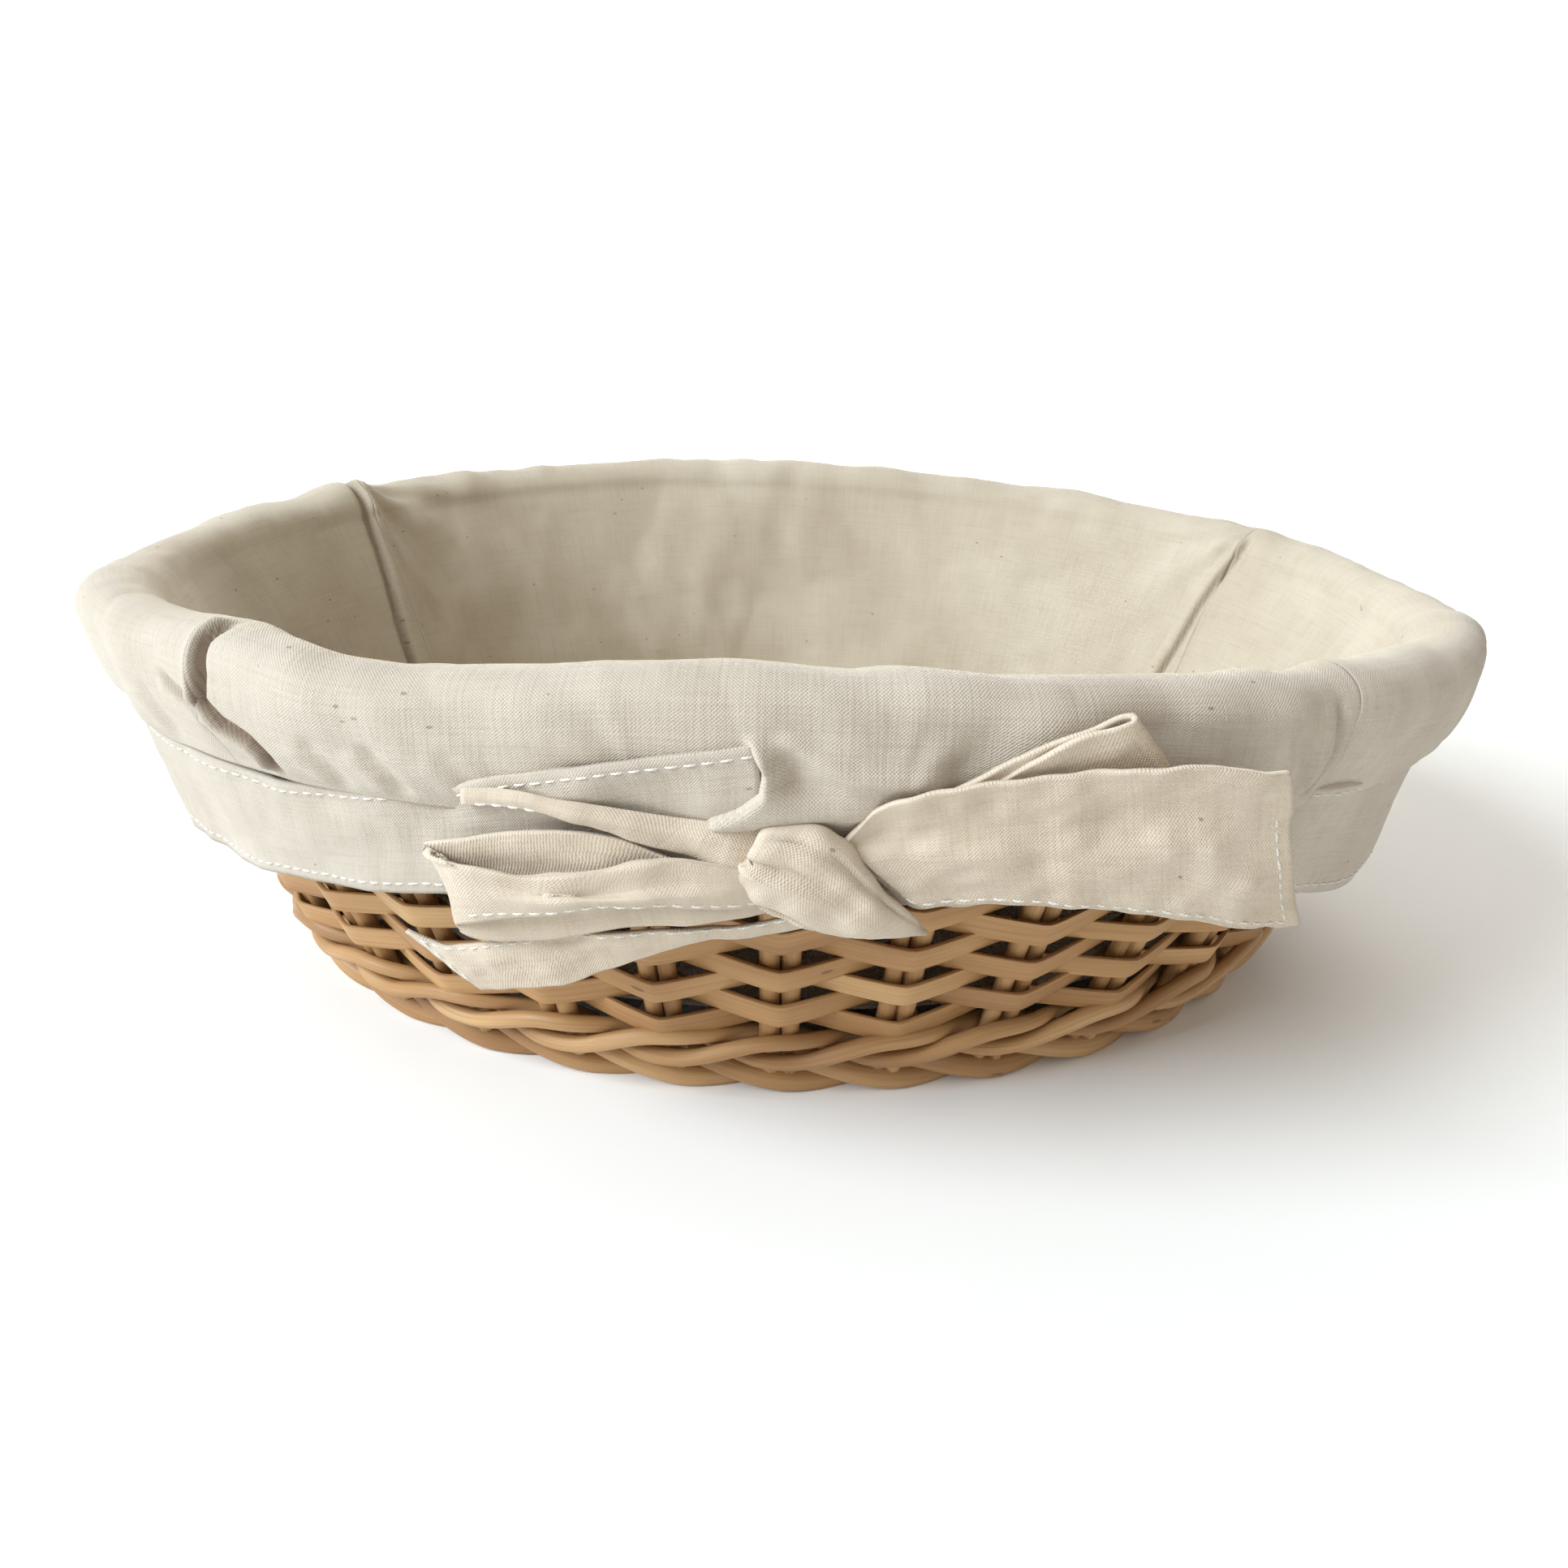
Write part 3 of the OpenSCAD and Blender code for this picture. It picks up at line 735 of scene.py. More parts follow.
# Each crease's route, then its width, depth, ridge, ridge_width, shoulder and painted fold shade
CREASES = [
    # Upright seams inside
    ([(27, -4), (29, -30), (32, -80)], 0.9, 1.7, 1.1, 2.5, 1, 0.3),
    ([(148, 2), (148.6, -20), (151, -50), (152, -82)], 1.0, 2.0, 1.8, 3.2, -1, 0.45),
    ([(230, -5), (229, -80)], 1.3, 1.6, 0.7, 2.5),
    ([(308, -5), (309, -80)], 1.3, 1.6, 0.7, 2.5),
    # The deep bent pleat at the front left, its branch, and the pleats at the front right
    ([(231.9, -1), (230.9, 5), (230.9, 11), (230.4, 17), (232.2, 20.5), (234.6, 22.5), (235.6, 25),
      (236, 31)], 1.0, 2.4, 1.6, 2.2, 1, 0.8),
    ([(224, 14), (227, 17), (231, 20)], 1.0, 1.4, 0.8, 3, 1, 0.35),
    ([(306.5, 7), (307, 18), (306, 29)], 1.1, 1.8, 1.0, 3, 1, 0.3),
    ([(302, 12), (304, 22), (306, 30)], 2.2, 1.0, 0.6, 3),
    # A low ridge to the right of the band's end
    ([(269.2, 13), (271.3, 17), (273.8, 20), (280, 21)], 2.0, -1.2, 0.0)]
# Short folds where the cuff is gathered into the band: angle and depth
CREASES += [([(a - 1.5, 17), (a, 24), (a + 1.0, 31.5)], 2.2, depth, 0.6 * depth, 3.5)
            for a, depth in ((241, 1.0), (245.5, 1.3), (251, 0.7), (289, 0.8), (296, 0.6),
                             (316, 0.8), (222, 0.7), (205, 0.6))]


def right_of(along, down, route):
    """Distance to the right of a route of (degrees, mm from the crest) that runs downwards."""
    at = np.array([[along_rim(a), s] for a, s in route])
    x = np.interp(down, at[:, 1], at[:, 0])
    slope = np.interp(down, (at[1:, 1] + at[:-1, 1]) / 2, np.diff(at[:, 0]) / np.diff(at[:, 1]))
    return (along - x) / np.sqrt(1 + slope**2)


def fan(along, down, apex, reach, size, count, low, high):
    """Folds that spread from an apex (degrees, mm from the crest), between two directions."""
    dx, dy = along - along_rim(apex[0]), down - apex[1]
    away = np.hypot(dx, dy)
    angle = np.degrees(np.arctan2(dy, dx))
    window = smooth(angle, low, low + 15) * smooth(-angle, -high, -high + 15)
    fade = smooth(away, 2, 14) * bell(away, reach)
    return size * window * fade * np.cos(np.radians((angle - low) * 360 * count / (high - low)))


def liner_shift(points, along, down):
    """How far the cloth stands off its smooth shape."""
    inside = smooth(-down, 4, 45)
    outside = smooth(down, 4, 12)
    shift = 0.1 + 0.5 * waves(points, 75, 301) + 0.38 * waves(points, 34, 302)
    shift += 0.22 * waves(points, 15, 303) + 0.08 * waves(points, 8, 304)
    shift = np.maximum(shift, -0.5)
    shift += 0.6 * outside * waves(points, 28, 305, stretch=(1, 1, 0.35))
    shift += inside * (0.6 + 0.7 * np.abs(waves(points, 60, 306)))
    for route, *shape in CREASES:
        shift += crease(along, down, route, *shape)
    # Folds that spread from the tops of the upright seams
    shift += fan(along, down, (148.5, 0), 60, 1.5, 2.4, -175, -100)
    shift += fan(along, down, (27, 0), 55, 1.0, 2.0, -80, -10)
    # The bump where the back left seam crosses the rim
    bump = np.hypot(along - along_rim(150), down + 1)
    shift += 2.2 * bell(bump, 7)
    # The cuff's lower edge is folded out beside the band's end, with a hollow to its right
    lip = [(267.9, 14.5), (268.4, 17.1), (268.8, 19.3), (268.6, 22.6), (267.5, 25.2), (265.9, 27.6),
           (265.3, 29.5), (266, 34)]
    right = right_of(along, down, lip)
    reach = 3.0 + 9 * smooth(down, 19, 28)
    shift += (LIP_OUT * smooth(right, -0.6, 0.8) * bell(right, reach)
              * smooth(down, 13, 18) * smooth(-along, -along_rim(277), -along_rim(271)))
    shift -= 1.2 * bell(right - 4.5, 2.5) * smooth(down, 12, 18) * smooth(-down, -26, -20)
    # Pulls towards the bow
    shift += fan(along, down, (262, 26), 34, 0.35, 2.2, -175, -95)
    shift += fan(along, down, (276, 26), 30, 0.3, 2.0, -85, -20)
    return shift


def give_thickness(obj, thickness, offset=-1.0):
    solid = obj.modifiers.new("thickness", "SOLIDIFY")
    solid.thickness = thickness * MM
    solid.offset = offset


def make_liner():
    """Four panels from the floor over the rim to the band, each with a cloth inside and out."""
    t, points, s = liner_grid()
    along, down = np.broadcast_arrays(RIM_LENGTH[:-1, None], s[None, :])
    normal = grid_normals(points, closed=True)
    if (normal[0, -5] @ [1, 0, 0]) < 0:
        normal = -normal
    shift = liner_shift(points, along, down)
    # Painted fold shade for the material: the strongest of the marked folds at each point
    tuck = np.max(FOLD_SHADES, axis=0)
    edge = smooth(s, s[0] - 1, s[0] + 8) * smooth(-s, -s[-1] - 1, -s[-1] + 5)
    points = points + normal * (shift * (0.25 + 0.75 * edge[None, :]))[..., None]
    degrees = np.degrees(t)
    names = ("right", "back", "left", "front")
    for name, low, high in zip(names, (SEAMS[3] - 360, *SEAMS), SEAMS):
        i0 = int(np.searchsorted(degrees, low % 360))
        count = int(np.searchsorted(degrees, high)) - i0 + 1 + (COLUMNS if low < 0 else 0)
        index = (i0 + np.arange(count)) % COLUMNS
        piece = points[index]
        u = path_length(piece[:, INSIDE_STEPS])
        v = path_length(piece[len(piece) // 2])
        patch = Patch()
        patch.grid(piece, u, v)
        obj = patch.make(f"liner_{name}", CLOTH_OUT, "liner", "linen_outside", tuck[index])
        obj.data.materials.append(CLOTH_IN)
        slots = np.zeros((count - 1, len(s) - 1), int)
        slots[:, :INSIDE_STEPS + ARC_STEPS // 2] = 1
        obj.data.polygons.foreach_set("material_index", slots.ravel())
        if (np.array(obj.data.polygons[len(s) * 3 - 4].normal) @ piece[3, -4]) < 0:
            obj.data.flip_normals()
        give_thickness(obj, CLOTH_T)
        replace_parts(obj, f"liner_wall_{name}", f"liner_cuff_{name}")


def make_liner_bottom():
    rings = np.linspace(0.02, 1, 60)
    t = np.linspace(0, 2 * math.pi, 160, endpoint=False)
    flat = np.stack([oval(FLOOR_OVAL[0] * r, FLOOR_OVAL[1] * r, t, FLOOR_Z + 0.3)
                     for r in rings], axis=0)
    rise = 0.7 * waves(flat, 60, 401) + 0.3 * waves(flat, 22, 402)
    flat[..., 2] += (0.5 + rise * 0.6) * smooth(1 - rings, 0, 0.12)[:, None]
    patch = Patch()
    m = flat.shape[1]
    patch.grid(flat, rings * 100, np.linspace(0, 600, m + 1), False, True)
    patch.uvs = [flat_uv(patch)]
    patch.cap(flat[0], (0, 0))
    patch.uvs[-1] = np.zeros((3 * m, 2))
    obj = patch.make("liner_floor", CLOTH_IN, "liner", "linen_inside")
    if obj.data.polygons[10].normal.z < 0:
        obj.data.flip_normals()
    give_thickness(obj, CLOTH_T)
    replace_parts(obj, "liner_bottom")


def flat_uv(patch):
    """Weave coordinates straight from X and Y, for a cloth that lies flat."""
    verts = np.vstack(patch.verts)
    return verts[np.array(patch.faces).ravel()][:, :2]


# ---- Band ----

STITCHES = Patch()  # every stitch, in one mesh


def skin(t, z):
    """The smooth outer face of the cuff and of the band below it."""
    hang = np.clip((seam_z(t) - z) / 27, 0, 1.2)
    a, b = wall_axes(z)
    low = oval(a, b, t, z, BAND_OUT + BAND_FLARE * hang)
    return np.where((z > seam_z(t))[..., None], cuff_face(t, np.maximum(z, seam_z(t))), low)


def make_band(side, low, high):
    """The doubled band below the cuff, from one angle to another."""
    columns = int((high - low) * 2.6)
    k = np.linspace(0, 1, 26)[None, :]
    tuck = 1.0 * np.cos(math.pi * (k - 0.3)) if side == "left" else 0 * k
    t = np.radians(low + (high + tuck - low) * np.linspace(0, 1, columns)[:, None])
    top = seam_z(t) + seam_rise(t) - 0.2
    hem = even_crest(t) - HEM_DEPTH + hem_rise(t)
    z = top + (hem - top) * k
    face = skin(t, z)
    loose = smooth(seam_rise(t), 2, 8) * (side == "left")
    under_lip = smooth(np.degrees(t), 263.5, 266.5) * (side == "left")
    off = -0.3 + 1.3 * loose + 0.4 * under_lip
    off = off + 0.45 * waves(face, 48, 501) * smooth(k, 0.05, 0.5)
    off = off + 0.3 * waves(face, 20, 502) + 0.1 * waves(face, 8, 503)
    off = off + 0.7 * smooth(k, 0.4, 1) * waves(face, 33, 504, stretch=(1, 1, 0.2))
    gather = waves(face, 17, 505, stretch=(1, 1, 0.15))
    off = off + 0.4 * loose * gather * smooth(k, 0.03, 0.25) * (1 - under_lip)
    points = face + outward(face) * off[..., None]
    cloth = Cloth(points, outward_hint=True)
    patch = Patch()
    u = path_length(points[:, 3])
    v = path_length(points[columns // 3])
    patch.grid(points, u, v)
    obj = patch.make(f"band_{side}", CLOTH_OUT, "liner", "linen_outside")
    cloth.face_out(obj)
    give_thickness(obj, BAND_T)
    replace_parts(obj, f"casing_band_{side}")
    # One row of stitches 1.7 mm below the seam, and one 2.4 mm above the hem
    cloth.sew(STITCHES, [(i, 1.7 * 25 / length_at(points, i)) for i in range(columns)])
    cloth.sew(STITCHES, [(i, 25 - 2.4 * 25 / length_at(points, i)) for i in range(columns)])


def length_at(points, i):
    return path_length(points[i])[-1]


class Cloth:
    """A grid of points with its normals, for sewing along."""

    def __init__(self, points, outward_hint=False, front=None):
        self.points = points
        self.normals = grid_normals(points)
        middle = self.normals[points.shape[0] // 2, points.shape[1] // 2]
        if outward_hint:
            aim = outward(points[points.shape[0] // 2, points.shape[1] // 2])
        else:
            aim = np.array(front)
        if middle @ aim < 0:
            self.normals = -self.normals

    def face_out(self, obj):
        """Turn the mesh so that its faces look the way the normals do."""
        m = self.points.shape[1]
        face = len(obj.data.polygons) // 2
        i, j = divmod(face, m - 1)
        if np.array(obj.data.polygons[face].normal) @ self.normals[i, j] < 0:
            obj.data.flip_normals()

    def at(self, i, j):
        n, m = self.points.shape[:2]
        i, j = min(max(i, 0), n - 1.001), min(max(j, 0), m - 1.001)
        a, b = int(i), int(j)
        x, y = i - a, j - b
        blend = lambda g: ((g[a, b] * (1 - x) + g[a + 1, b] * x) * (1 - y)
                           + (g[a, b + 1] * (1 - x) + g[a + 1, b + 1] * x) * y)
        return blend(self.points), blend(self.normals)

    def sew(self, patch, route, seed=1):
        """A row of stitches along a route of grid places."""
        found = [self.at(i, j) for i, j in route]
        path = np.array([p for p, _ in found])
        normals = np.array([q / np.linalg.norm(q) for _, q in found])
        length = path_length(path)
        rng = random_for(61, seed, len(route))
        start = 0.5
        while start + STITCH < length[-1]:
            size = STITCH * rng.uniform(0.85, 1.1)
            ends = [start, start + size]
            p = np.array([[np.interp(e, length, path[:, c]) for c in range(3)] for e in ends])
            q = np.array([np.interp(start + size / 2, length, normals[:, c]) for c in range(3)])
            one_stitch(patch, p + q * rng.uniform(0.0, 0.12), q)
            start += size + STITCH_GAP * rng.uniform(0.8, 1.3)


def one_stitch(patch, ends, up):
    """A short padded thread between two points on the cloth."""
    ahead = ends[1] - ends[0]
    ahead /= np.linalg.norm(ahead)
    side = np.cross(up, ahead)
    side /= np.linalg.norm(side)
    up = np.cross(ahead, side)
    # Share of the length, radius and lift of each ring
    places = [(0.0, 0.08, -0.14), (0.14, 0.19, -0.02), (0.5, 0.23, 0.06), (0.86, 0.19, -0.02),
              (1.0, 0.08, -0.14)]
    angle = np.arange(6) * math.pi / 3
    rings = []
    for k, r, lift in places:
        centre = ends[0] + (ends[1] - ends[0]) * k + up * lift
        rings.append(centre + r * (np.cos(angle)[:, None] * side + np.sin(angle)[:, None] * up))
    patch.grid(np.array(rings), np.array([0, 0.3, 1.1, 1.9, 2.2]), np.linspace(0, 1.8, 7), False, True)


# ---- Bow ----
# Each piece runs through rails, from its upper edge to its lower one. All rails run the same way.

STRAP_LEFT = [
    [(-53.8, -118.0, 82.4), (-43.5, -121.4, 83.2), (-35.8, -122.9, 82.2), (-26.9, -124.0, 81.6),
     (-18.2, -124.6, 80.7), (-12.0, -124.8, 80.0), (-5.9, -124.6, 78.9), (0, -123.4, 77.4)],
    [(-53.9, -118.3, 80.6), (-43.8, -122.0, 81.6), (-36.3, -123.8, 81.0), (-28.8, -125.2, 79.9),
     (-21.3, -125.9, 78.5), (-13.6, -126.1, 76.9), (-7.1, -125.6, 75.2), (-1, -123.8, 73.8)],
    [(-54.0, -117.9, 78.8), (-44.1, -121.4, 80.0), (-36.9, -123.3, 79.8), (-30.6, -124.0, 78.2),
     (-24.5, -124.5, 75.9), (-15.2, -124.7, 73.0), (-8.3, -124.3, 70.8), (-2, -122.9, 69.6)]]
LOOP_LEFT_BACK = [
    [(-62.1, -116.1, 70.9), (-56.2, -117.1, 72.6), (-48.1, -119.0, 74.8), (-41.3, -120.4, 76.2),
     (-34.1, -121.8, 76.8), (-26.6, -122.6, 76.0), (-19.1, -122.9, 73.1), (-7.8, -123.4, 70.3), (2, -121.5, 69)],
    [(-59.6, -114.6, 61.9), (-55.0, -115.2, 62.0), (-46.3, -117.2, 63.7), (-38.7, -118.7, 65.4),
     (-31.2, -120.2, 67.1), (-24.4, -121.1, 67.3), (-17.4, -121.9, 66.1), (-7.5, -122.4, 65.6), (2, -121, 66)],
    [(-58.6, -114.3, 52.8), (-53.9, -114.4, 51.3), (-44.5, -116.3, 52.5), (-36.0, -118.0, 54.6),
     (-28.4, -119.6, 57.4), (-22.3, -120.5, 58.6), (-15.7, -121.6, 59.6), (-7.2, -121.9, 61.4), (2, -120.5, 63)]]
LOOP_LEFT_FRONT = [
    [(-61.6, -117.1, 69.8), (-57.5, -119.4, 69.5), (-50.6, -121.4, 68.8), (-41.3, -123.2, 68.5),
     (-30.8, -124.8, 70.9), (-23.2, -125.7, 72.9), (-17.0, -125.6, 73.8), (-7.7, -124.9, 72.1), (2, -122, 70)],
    [(-60.8, -118.3, 69.8), (-56.4, -121.3, 69.9), (-49.6, -123.3, 69.2), (-40.6, -125.0, 68.8),
     (-30.2, -126.5, 70.8), (-22.5, -127.2, 72.7), (-16.2, -126.8, 73.2), (-7.5, -125.5, 71.4), (2, -122.6, 69.4)],
    [(-59.1, -118.9, 66.8), (-55.2, -121.5, 67.0), (-48.9, -122.9, 66.3), (-41.2, -123.9, 65.6),
     (-33.9, -124.6, 65.6), (-26.3, -125.6, 67.4), (-18.3, -126.3, 69.4), (-7.1, -125.6, 69.4), (2, -123, 68.4)],
    [(-58.0, -118.3, 61.9), (-53.7, -121.2, 63.2), (-47.4, -123.4, 63.5), (-40.6, -124.9, 64.3),
     (-32.1, -126.3, 65.6), (-24.4, -127.1, 66.4), (-15.7, -127.3, 67.2), (-7.0, -125.9, 67.2), (2, -123, 66.9)],
    [(-57.8, -116.6, 54.5), (-51.7, -119.7, 57.3), (-44.7, -122.1, 59.7), (-37.8, -123.8, 61.8),
     (-31.8, -124.9, 63.2), (-24.1, -125.8, 64.4), (-15.2, -126.0, 64.0), (-6.7, -125.0, 64.0), (2, -122.4, 64.4)]]
TAIL_LEFT = [
    [(-70.6, -107.3, 46.9), (-62.5, -110.2, 46.0), (-54.4, -113.3, 48.6), (-44.6, -116.3, 52.1),
     (-33.9, -118.7, 54.6), (-23.0, -120.4, 56.2), (-12.4, -121.7, 57.6), (0.6, -122.2, 60.2), (9, -121, 63)],
    [(-64.1, -108.5, 42.2), (-57.3, -112.3, 43.2), (-50.2, -115.0, 45.4), (-41.3, -116.9, 48.0),
     (-32.1, -118.6, 50.8), (-22.5, -120.3, 53.8), (-12.4, -121.4, 56.1), (0.6, -122.2, 58.8), (9, -121, 61.6)],
    [(-55.9, -110.4, 36.8), (-53.0, -111.6, 37.7), (-46.7, -113.7, 39.7), (-38.5, -115.6, 42.1),
     (-30.5, -117.4, 46.0), (-22.0, -119.1, 50.8), (-12.5, -120.9, 54.9), (0.6, -121.9, 57.5), (9, -121, 60.2)]]
TAIL_RIGHT = [
    [(10.1, -124.7, 76.4), (15.5, -126.2, 83.2), (20.2, -127.1, 86.0), (27.1, -127.9, 87.7),
     (34.3, -128.8, 89.4), (42.7, -129.1, 90.8), (51.0, -129.1, 91.9), (60.2, -129.7, 93.2),
     (67.9, -129.1, 93.0), (79.0, -126.6, 91.5)],
    [(10.3, -123.7, 75.5), (16.6, -124.2, 77.7), (22.0, -124.8, 79.0), (28.5, -125.5, 80.6),
     (36.0, -126.2, 82.2), (44.7, -126.3, 83.4), (53.5, -126.1, 84.1), (62.9, -126.4, 85.0),
     (71.0, -125.3, 84.4), (82.9, -122.1, 82.5)],
    [(13.3, -124.6, 72.7), (18.1, -125.0, 74.0), (23.4, -125.3, 73.9), (29.5, -125.9, 74.7),
     (37.2, -126.3, 75.4), (45.9, -126.2, 75.9), (55.1, -125.5, 75.7), (65.0, -125.3, 75.5),
     (73.7, -123.7, 74.2), (86.0, -120.2, 72.7)],
    [(18.6, -122.9, 67.6), (22.4, -123.0, 67.3), (27.0, -123.4, 67.7), (32.0, -124.0, 68.3),
     (39.4, -124.2, 68.5), (47.9, -124.0, 68.1), (57.3, -122.9, 66.8), (67.8, -122.2, 65.9),
     (77.1, -120.0, 63.8), (91.3, -114.9, 60.0)],
    [(20.4, -121.9, 65.3), (23.9, -122.0, 63.7), (28.6, -122.2, 63.8), (34.3, -122.7, 64.7),
     (41.1, -123.1, 65.5), (49.4, -122.7, 65.1), (58.7, -121.6, 63.6), (69.4, -120.5, 61.6),
     (79.4, -117.9, 58.8), (93.9, -112.3, 55.2)]]
STRAP_RIGHT = [
    [(16, -119.0, 70), (24, -118.6, 74), (32, -117.2, 78), (42, -115.0, 82)],
    [(16, -119.4, 66), (24, -119.2, 67), (32, -117.8, 69), (42, -115.4, 71)],
    [(16, -119.2, 62), (24, -119.2, 62), (32, -118.0, 63), (42, -115.4, 64)]]
LOOP_RIGHT_FRONT = [
    [(21.1, -125.6, 82.8), (27.8, -126.7, 87.0), (33.7, -126.7, 88.6), (38.5, -127.6, 92.1),
     (44.3, -128.2, 96.1), (50.1, -127.5, 98.0), (54.2, -126.2, 99.4)],
    [(23.5, -123.2, 76.0), (30.1, -123.2, 78.1), (38.4, -122.9, 80.6), (46.6, -122.8, 83.3),
     (53.7, -122.6, 85.2), (58.5, -123.5, 88.2), (61.0, -125.0, 91.5)]]
LOOP_RIGHT_BACK = [
    [(20.7, -124.6, 82.6), (26.4, -125.3, 86.6), (34.6, -125.7, 92.0), (42.8, -125.5, 96.1),
     (48.2, -124.4, 98.0), (52.0, -123.7, 99.3), (54.0, -124.2, 99.9)],
    [(23.8, -121.0, 74.9), (30.6, -120.9, 77.0), (39.0, -120.5, 79.5), (47.4, -119.8, 81.9),
     (54.9, -118.8, 83.5), (60.0, -119.2, 86.9), (62.1, -121.5, 90.7)]]
KNOT = [
    [(-4.2, -124.6, 74.9), (-2.4, -125.0, 79.6), (4.6, -125.2, 80.2), (10.4, -124.8, 76.4),
     (16.2, -123.8, 69.2), (21.1, -123.0, 63.4), (25.2, -122.3, 59.5)],
    [(-6.4, -124.6, 73.0), (-7.6, -124.6, 69.6), (-6.0, -124.3, 66.0), (-0.8, -124.0, 63.2),
     (5.7, -123.8, 60.3), (13.6, -123.0, 58.0), (24.6, -122.0, 57.4)]]
KNOT_UNDER = [
    [(-5.6, -122.7, 68.3), (-0.8, -122.4, 65.3), (5.7, -122.0, 62.6), (12.3, -121.6, 60.5), (19.5, -121.2, 58.6)],
    [(-4.0, -122.3, 63.8), (-0.4, -122.0, 61.1), (5.8, -121.6, 58.5), (13.1, -121.2, 56.3), (20.3, -120.6, 56.2)]]


def rail_grid(rails, along, across):
    """A grid of points through the rails."""
    lines = np.array([spline(rail, along) for rail in rails])
    return np.stack([spline(lines[:, i], across) for i in range(along)])


def crumple(points, seed, size):
    """Small unevenness of handled cloth."""
    normal = grid_normals(points)
    if normal[len(normal) // 2, normal.shape[1] // 2] @ np.array(BOW_FRONT) < 0:
        normal = -normal
    shift = size * (0.6 * waves(points, 16, seed) + 0.3 * waves(points, 8, seed + 1)
                    + 0.12 * waves(points, 4, seed + 2))
    return points + normal * shift[..., None]


def make_strip(name, points, nodes, thickness):
    """A sewn strip of cloth from a grid of points."""
    cloth = Cloth(points, front=BOW_FRONT)
    u = path_length(points[:, points.shape[1] // 2])
    v = path_length(points[points.shape[0] // 2])
    patch = Patch()
    patch.grid(points, u + 300 * random_for(len(name), 5).uniform(), v)
    obj = patch.make(name, CLOTH_TIE, "liner", "linen_outside")
    cloth.face_out(obj)
    give_thickness(obj, thickness)
    if nodes:
        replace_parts(obj, *nodes)
    return cloth


def make_bow():
    strap = crumple(rail_grid(STRAP_LEFT, 70, 24), 601, 0.35)
    cloth = make_strip("tie_left", strap, ["tie_strap_left"], 1.3)
    cloth.sew(STITCHES, [(i, 21.5) for i in range(2, 16)])
    strap = crumple(rail_grid(STRAP_RIGHT, 40, 24), 606, 0.3)
    make_strip("tie_right", strap, ["tie_strap_right"], 1.2)
    # The left loop goes out behind and comes back in front
    back, front = rail_grid(LOOP_LEFT_BACK, 60, 40), rail_grid(LOOP_LEFT_FRONT, 70, 40)
    turn = (back[0] + front[0]) / 2 + (back[0] - back[3]) * 0.12
    loop = np.concatenate([back[::-1], turn[None], front])
    loop = crumple(smooth_rows(loop, 58, 64), 611, 0.3)
    loop[:60, :, 1] -= 1.0 * smooth(np.arange(60), 0, 12)[::-1][:, None]
    cloth = make_strip("loop_left", loop, ["bow_loop_left"], 0.7)
    cloth.sew(STITCHES, [(i, 36.4) for i in range(66, 131)])
    tail = crumple(rail_grid(TAIL_LEFT, 70, 34), 621, 0.55)
    cloth = make_strip("tail_left", tail, ["bow_tail_left"], 1.0)
    cloth.sew(STITCHES, [(i, 2.2) for i in range(2, 68)])
    cloth.sew(STITCHES, [(2.5, j) for j in range(2, 32)])
    tail = crumple(rail_grid(TAIL_RIGHT, 110, 50), 631, 0.7)
    cloth = make_strip("tail_right", tail, ["bow_tail_right"], 0.9)
    cloth.sew(STITCHES, [(i, 46.2) for i in range(2, 108)])
    cloth.sew(STITCHES, [(106.2, j) for j in range(14, 47)])
    under = tail + np.array([-0.4, 1.9, -1.5])
    make_strip("tail_right_lining", under[:-1], [], 0.9)
    back, front = rail_grid(LOOP_RIGHT_BACK, 50, 30), rail_grid(LOOP_RIGHT_FRONT, 50, 30)
    turn = (back[-1] + front[-1]) / 2 + (front[-1] - front[-4]) * 0.25
    loop = np.concatenate([back, turn[None], front[::-1]])
    loop = crumple(smooth_rows(loop, 47, 54), 641, 0.3)
    make_strip("loop_right", loop, ["bow_loop_right"], 1.0)
    make_knot("knot", KNOT, 4.6, 651, ["bow_knot"])
    make_knot("knot_under", KNOT_UNDER, 2.6, 661, [])


def smooth_rows(points, low, high):
    """Soften a grid along its length between two rows."""
    out = points.copy()
    for _ in range(4):
        out[low:high] = (out[low - 1:high - 1] + 2 * out[low:high] + out[low + 1:high + 1]) / 4
    return out


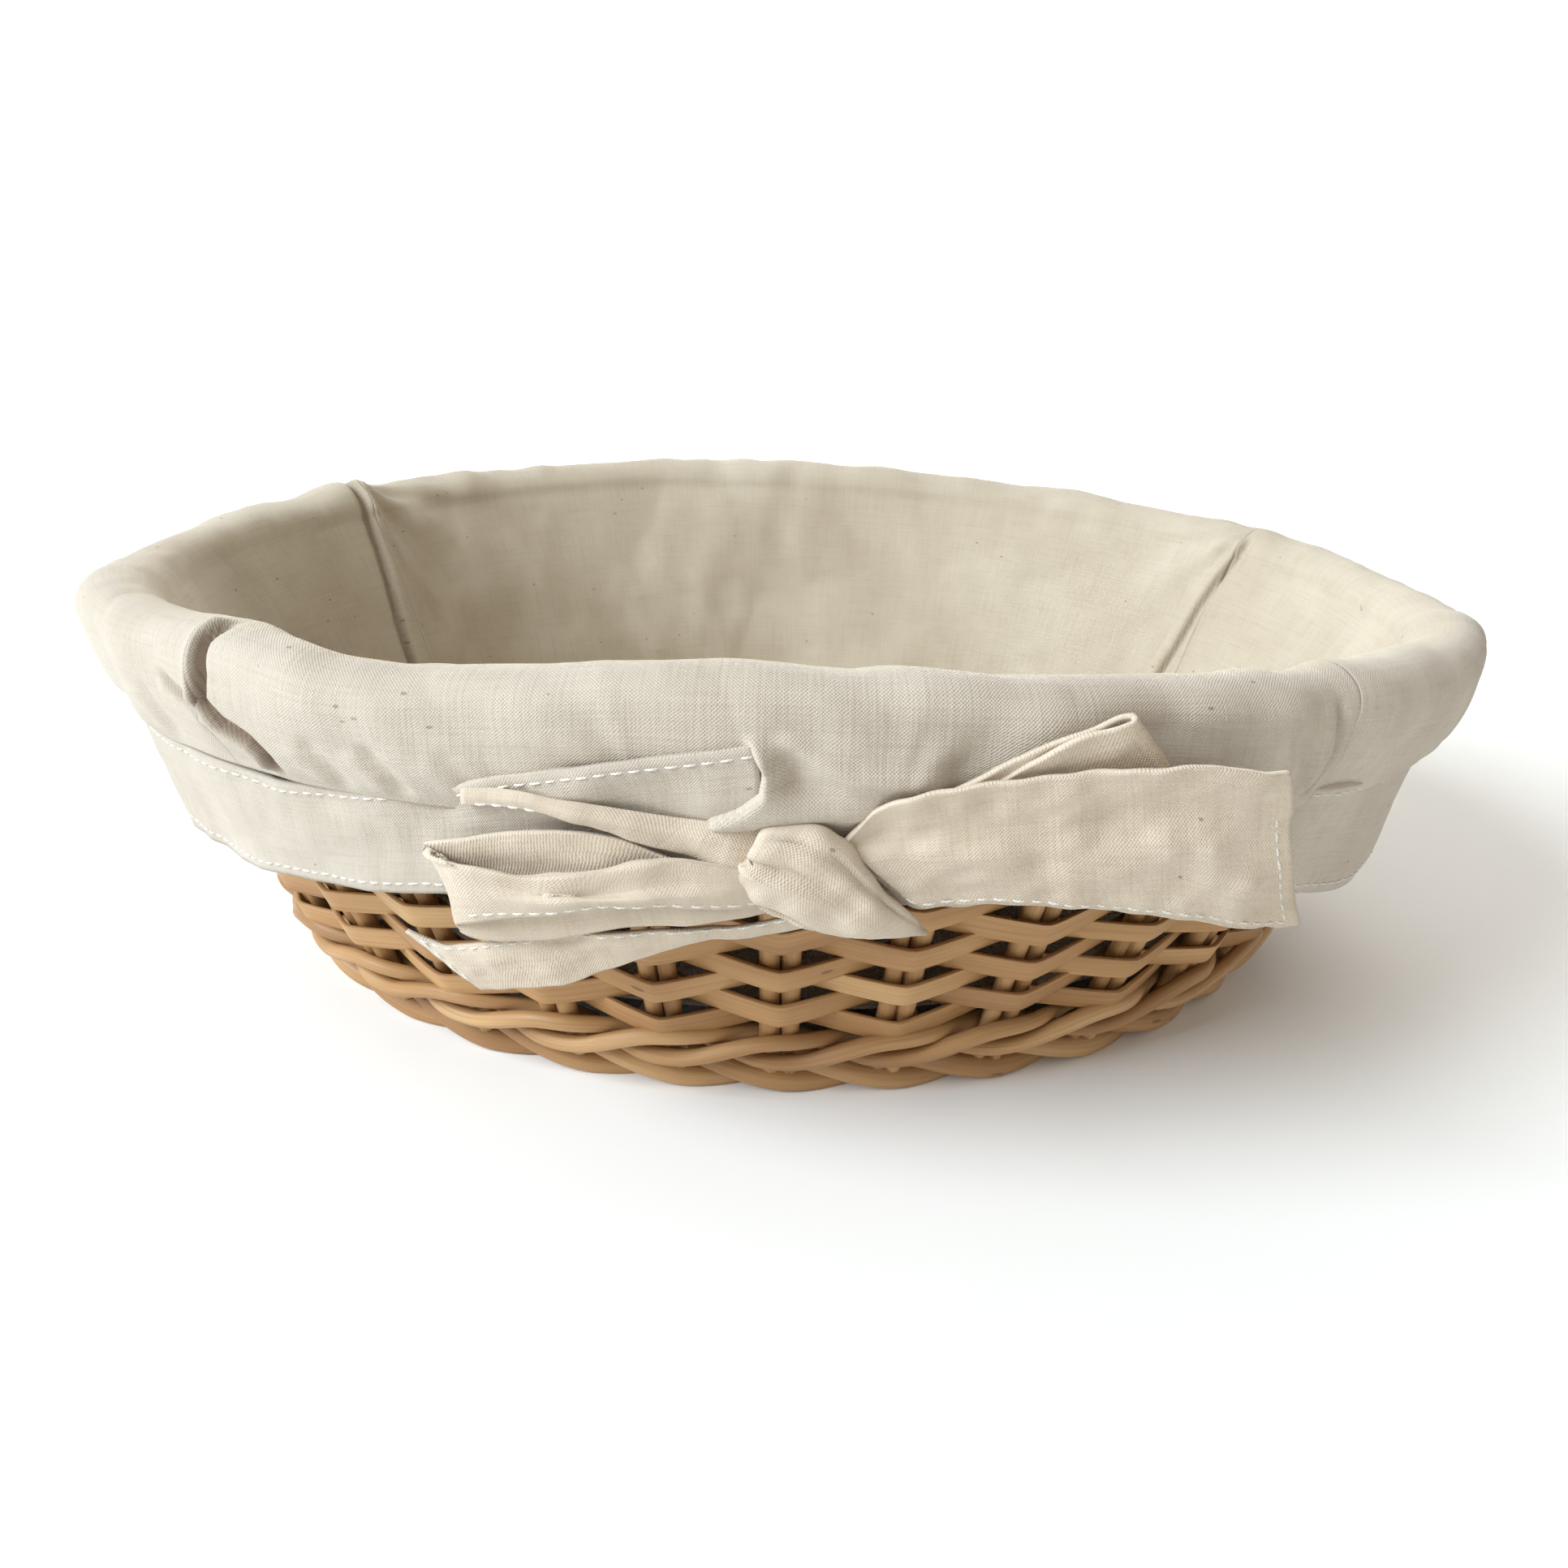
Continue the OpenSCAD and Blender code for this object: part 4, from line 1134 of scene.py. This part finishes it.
def make_knot(name, edges, bulge, seed, nodes):
    """A lump of wrapped cloth between two edges, bulging to the front."""
    rows, sides, front_side = 60, 48, 12
    upper, lower = (spline(edge, rows) for edge in edges)
    angle = np.arange(sides) * 2 * math.pi / sides
    x = np.linspace(0, 1, rows)
    swell = bulge * np.sqrt(np.clip(np.sin(math.pi * (0.04 + 0.93 * x)), 0, 1))
    mid, half = (upper + lower) / 2, (upper - lower) / 2
    half = half * (1 - 0.6 * smooth(x, 0.88, 1) ** 2)[:, None]
    way = np.array([0.0, -0.98, 0.2])
    depth = np.where(np.sin(angle) > 0, 1.0, 0.45)
    rings = (mid[:, None] + half[:, None] * np.cos(angle)[None, :, None]
             + way * (swell[:, None] * (depth * np.sin(angle))[None, :])[..., None])
    normal = np.cross(np.roll(rings, -1, 1) - np.roll(rings, 1, 1), np.gradient(rings, axis=0))
    normal /= np.maximum(np.linalg.norm(normal, axis=-1, keepdims=True), 1e-9)
    if normal[rows // 2, front_side] @ way < 0:
        normal = -normal
    lie = np.degrees(angle)[None, :] + 50 * x[:, None]
    folds = -1.7 * bell(lie - 112, 8) + 1.0 * bell(lie - 128, 10)
    folds = folds * smooth(-x[:, None], -0.75, -0.4)
    lie = np.degrees(angle)[None, :] - 62 + 30 * x[:, None]
    folds = folds - 1.2 * bell(lie, 6) * smooth(x[:, None], 0.1, 0.3)
    folds = folds + 0.25 * waves(rings, 11, seed) + 0.1 * waves(rings, 5, seed + 1)
    folds = folds * (smooth(x, 0, 0.1) * smooth(1 - x, 0, 0.3))[:, None]
    rings = rings + normal * folds[..., None]
    patch = Patch()
    length = path_length(rings[:, front_side])
    around = np.linspace(0, path_length(rings[rows // 2])[-1], sides + 1)
    patch.grid(rings, length, around, False, True)
    patch.cap(rings[0][::-1])
    patch.cap(rings[-1])
    obj = patch.make(name, CLOTH_TIE, "liner", "linen_outside")
    if np.array(obj.data.polygons[rows // 2 * sides + front_side].normal) @ way < 0:
        obj.data.flip_normals()
    if nodes:
        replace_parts(obj, *nodes)


# ---- Run ----

make_camera()
make_stage()
make_stakes()
make_weaver_rows()
make_borders()
make_waling()
make_base()
make_liner()
make_liner_bottom()
make_band("left", *BAND_LEFT)
make_band("right", *BAND_RIGHT)
make_bow()
STITCHES.make("stitching", THREAD, "liner", "linen_outside")
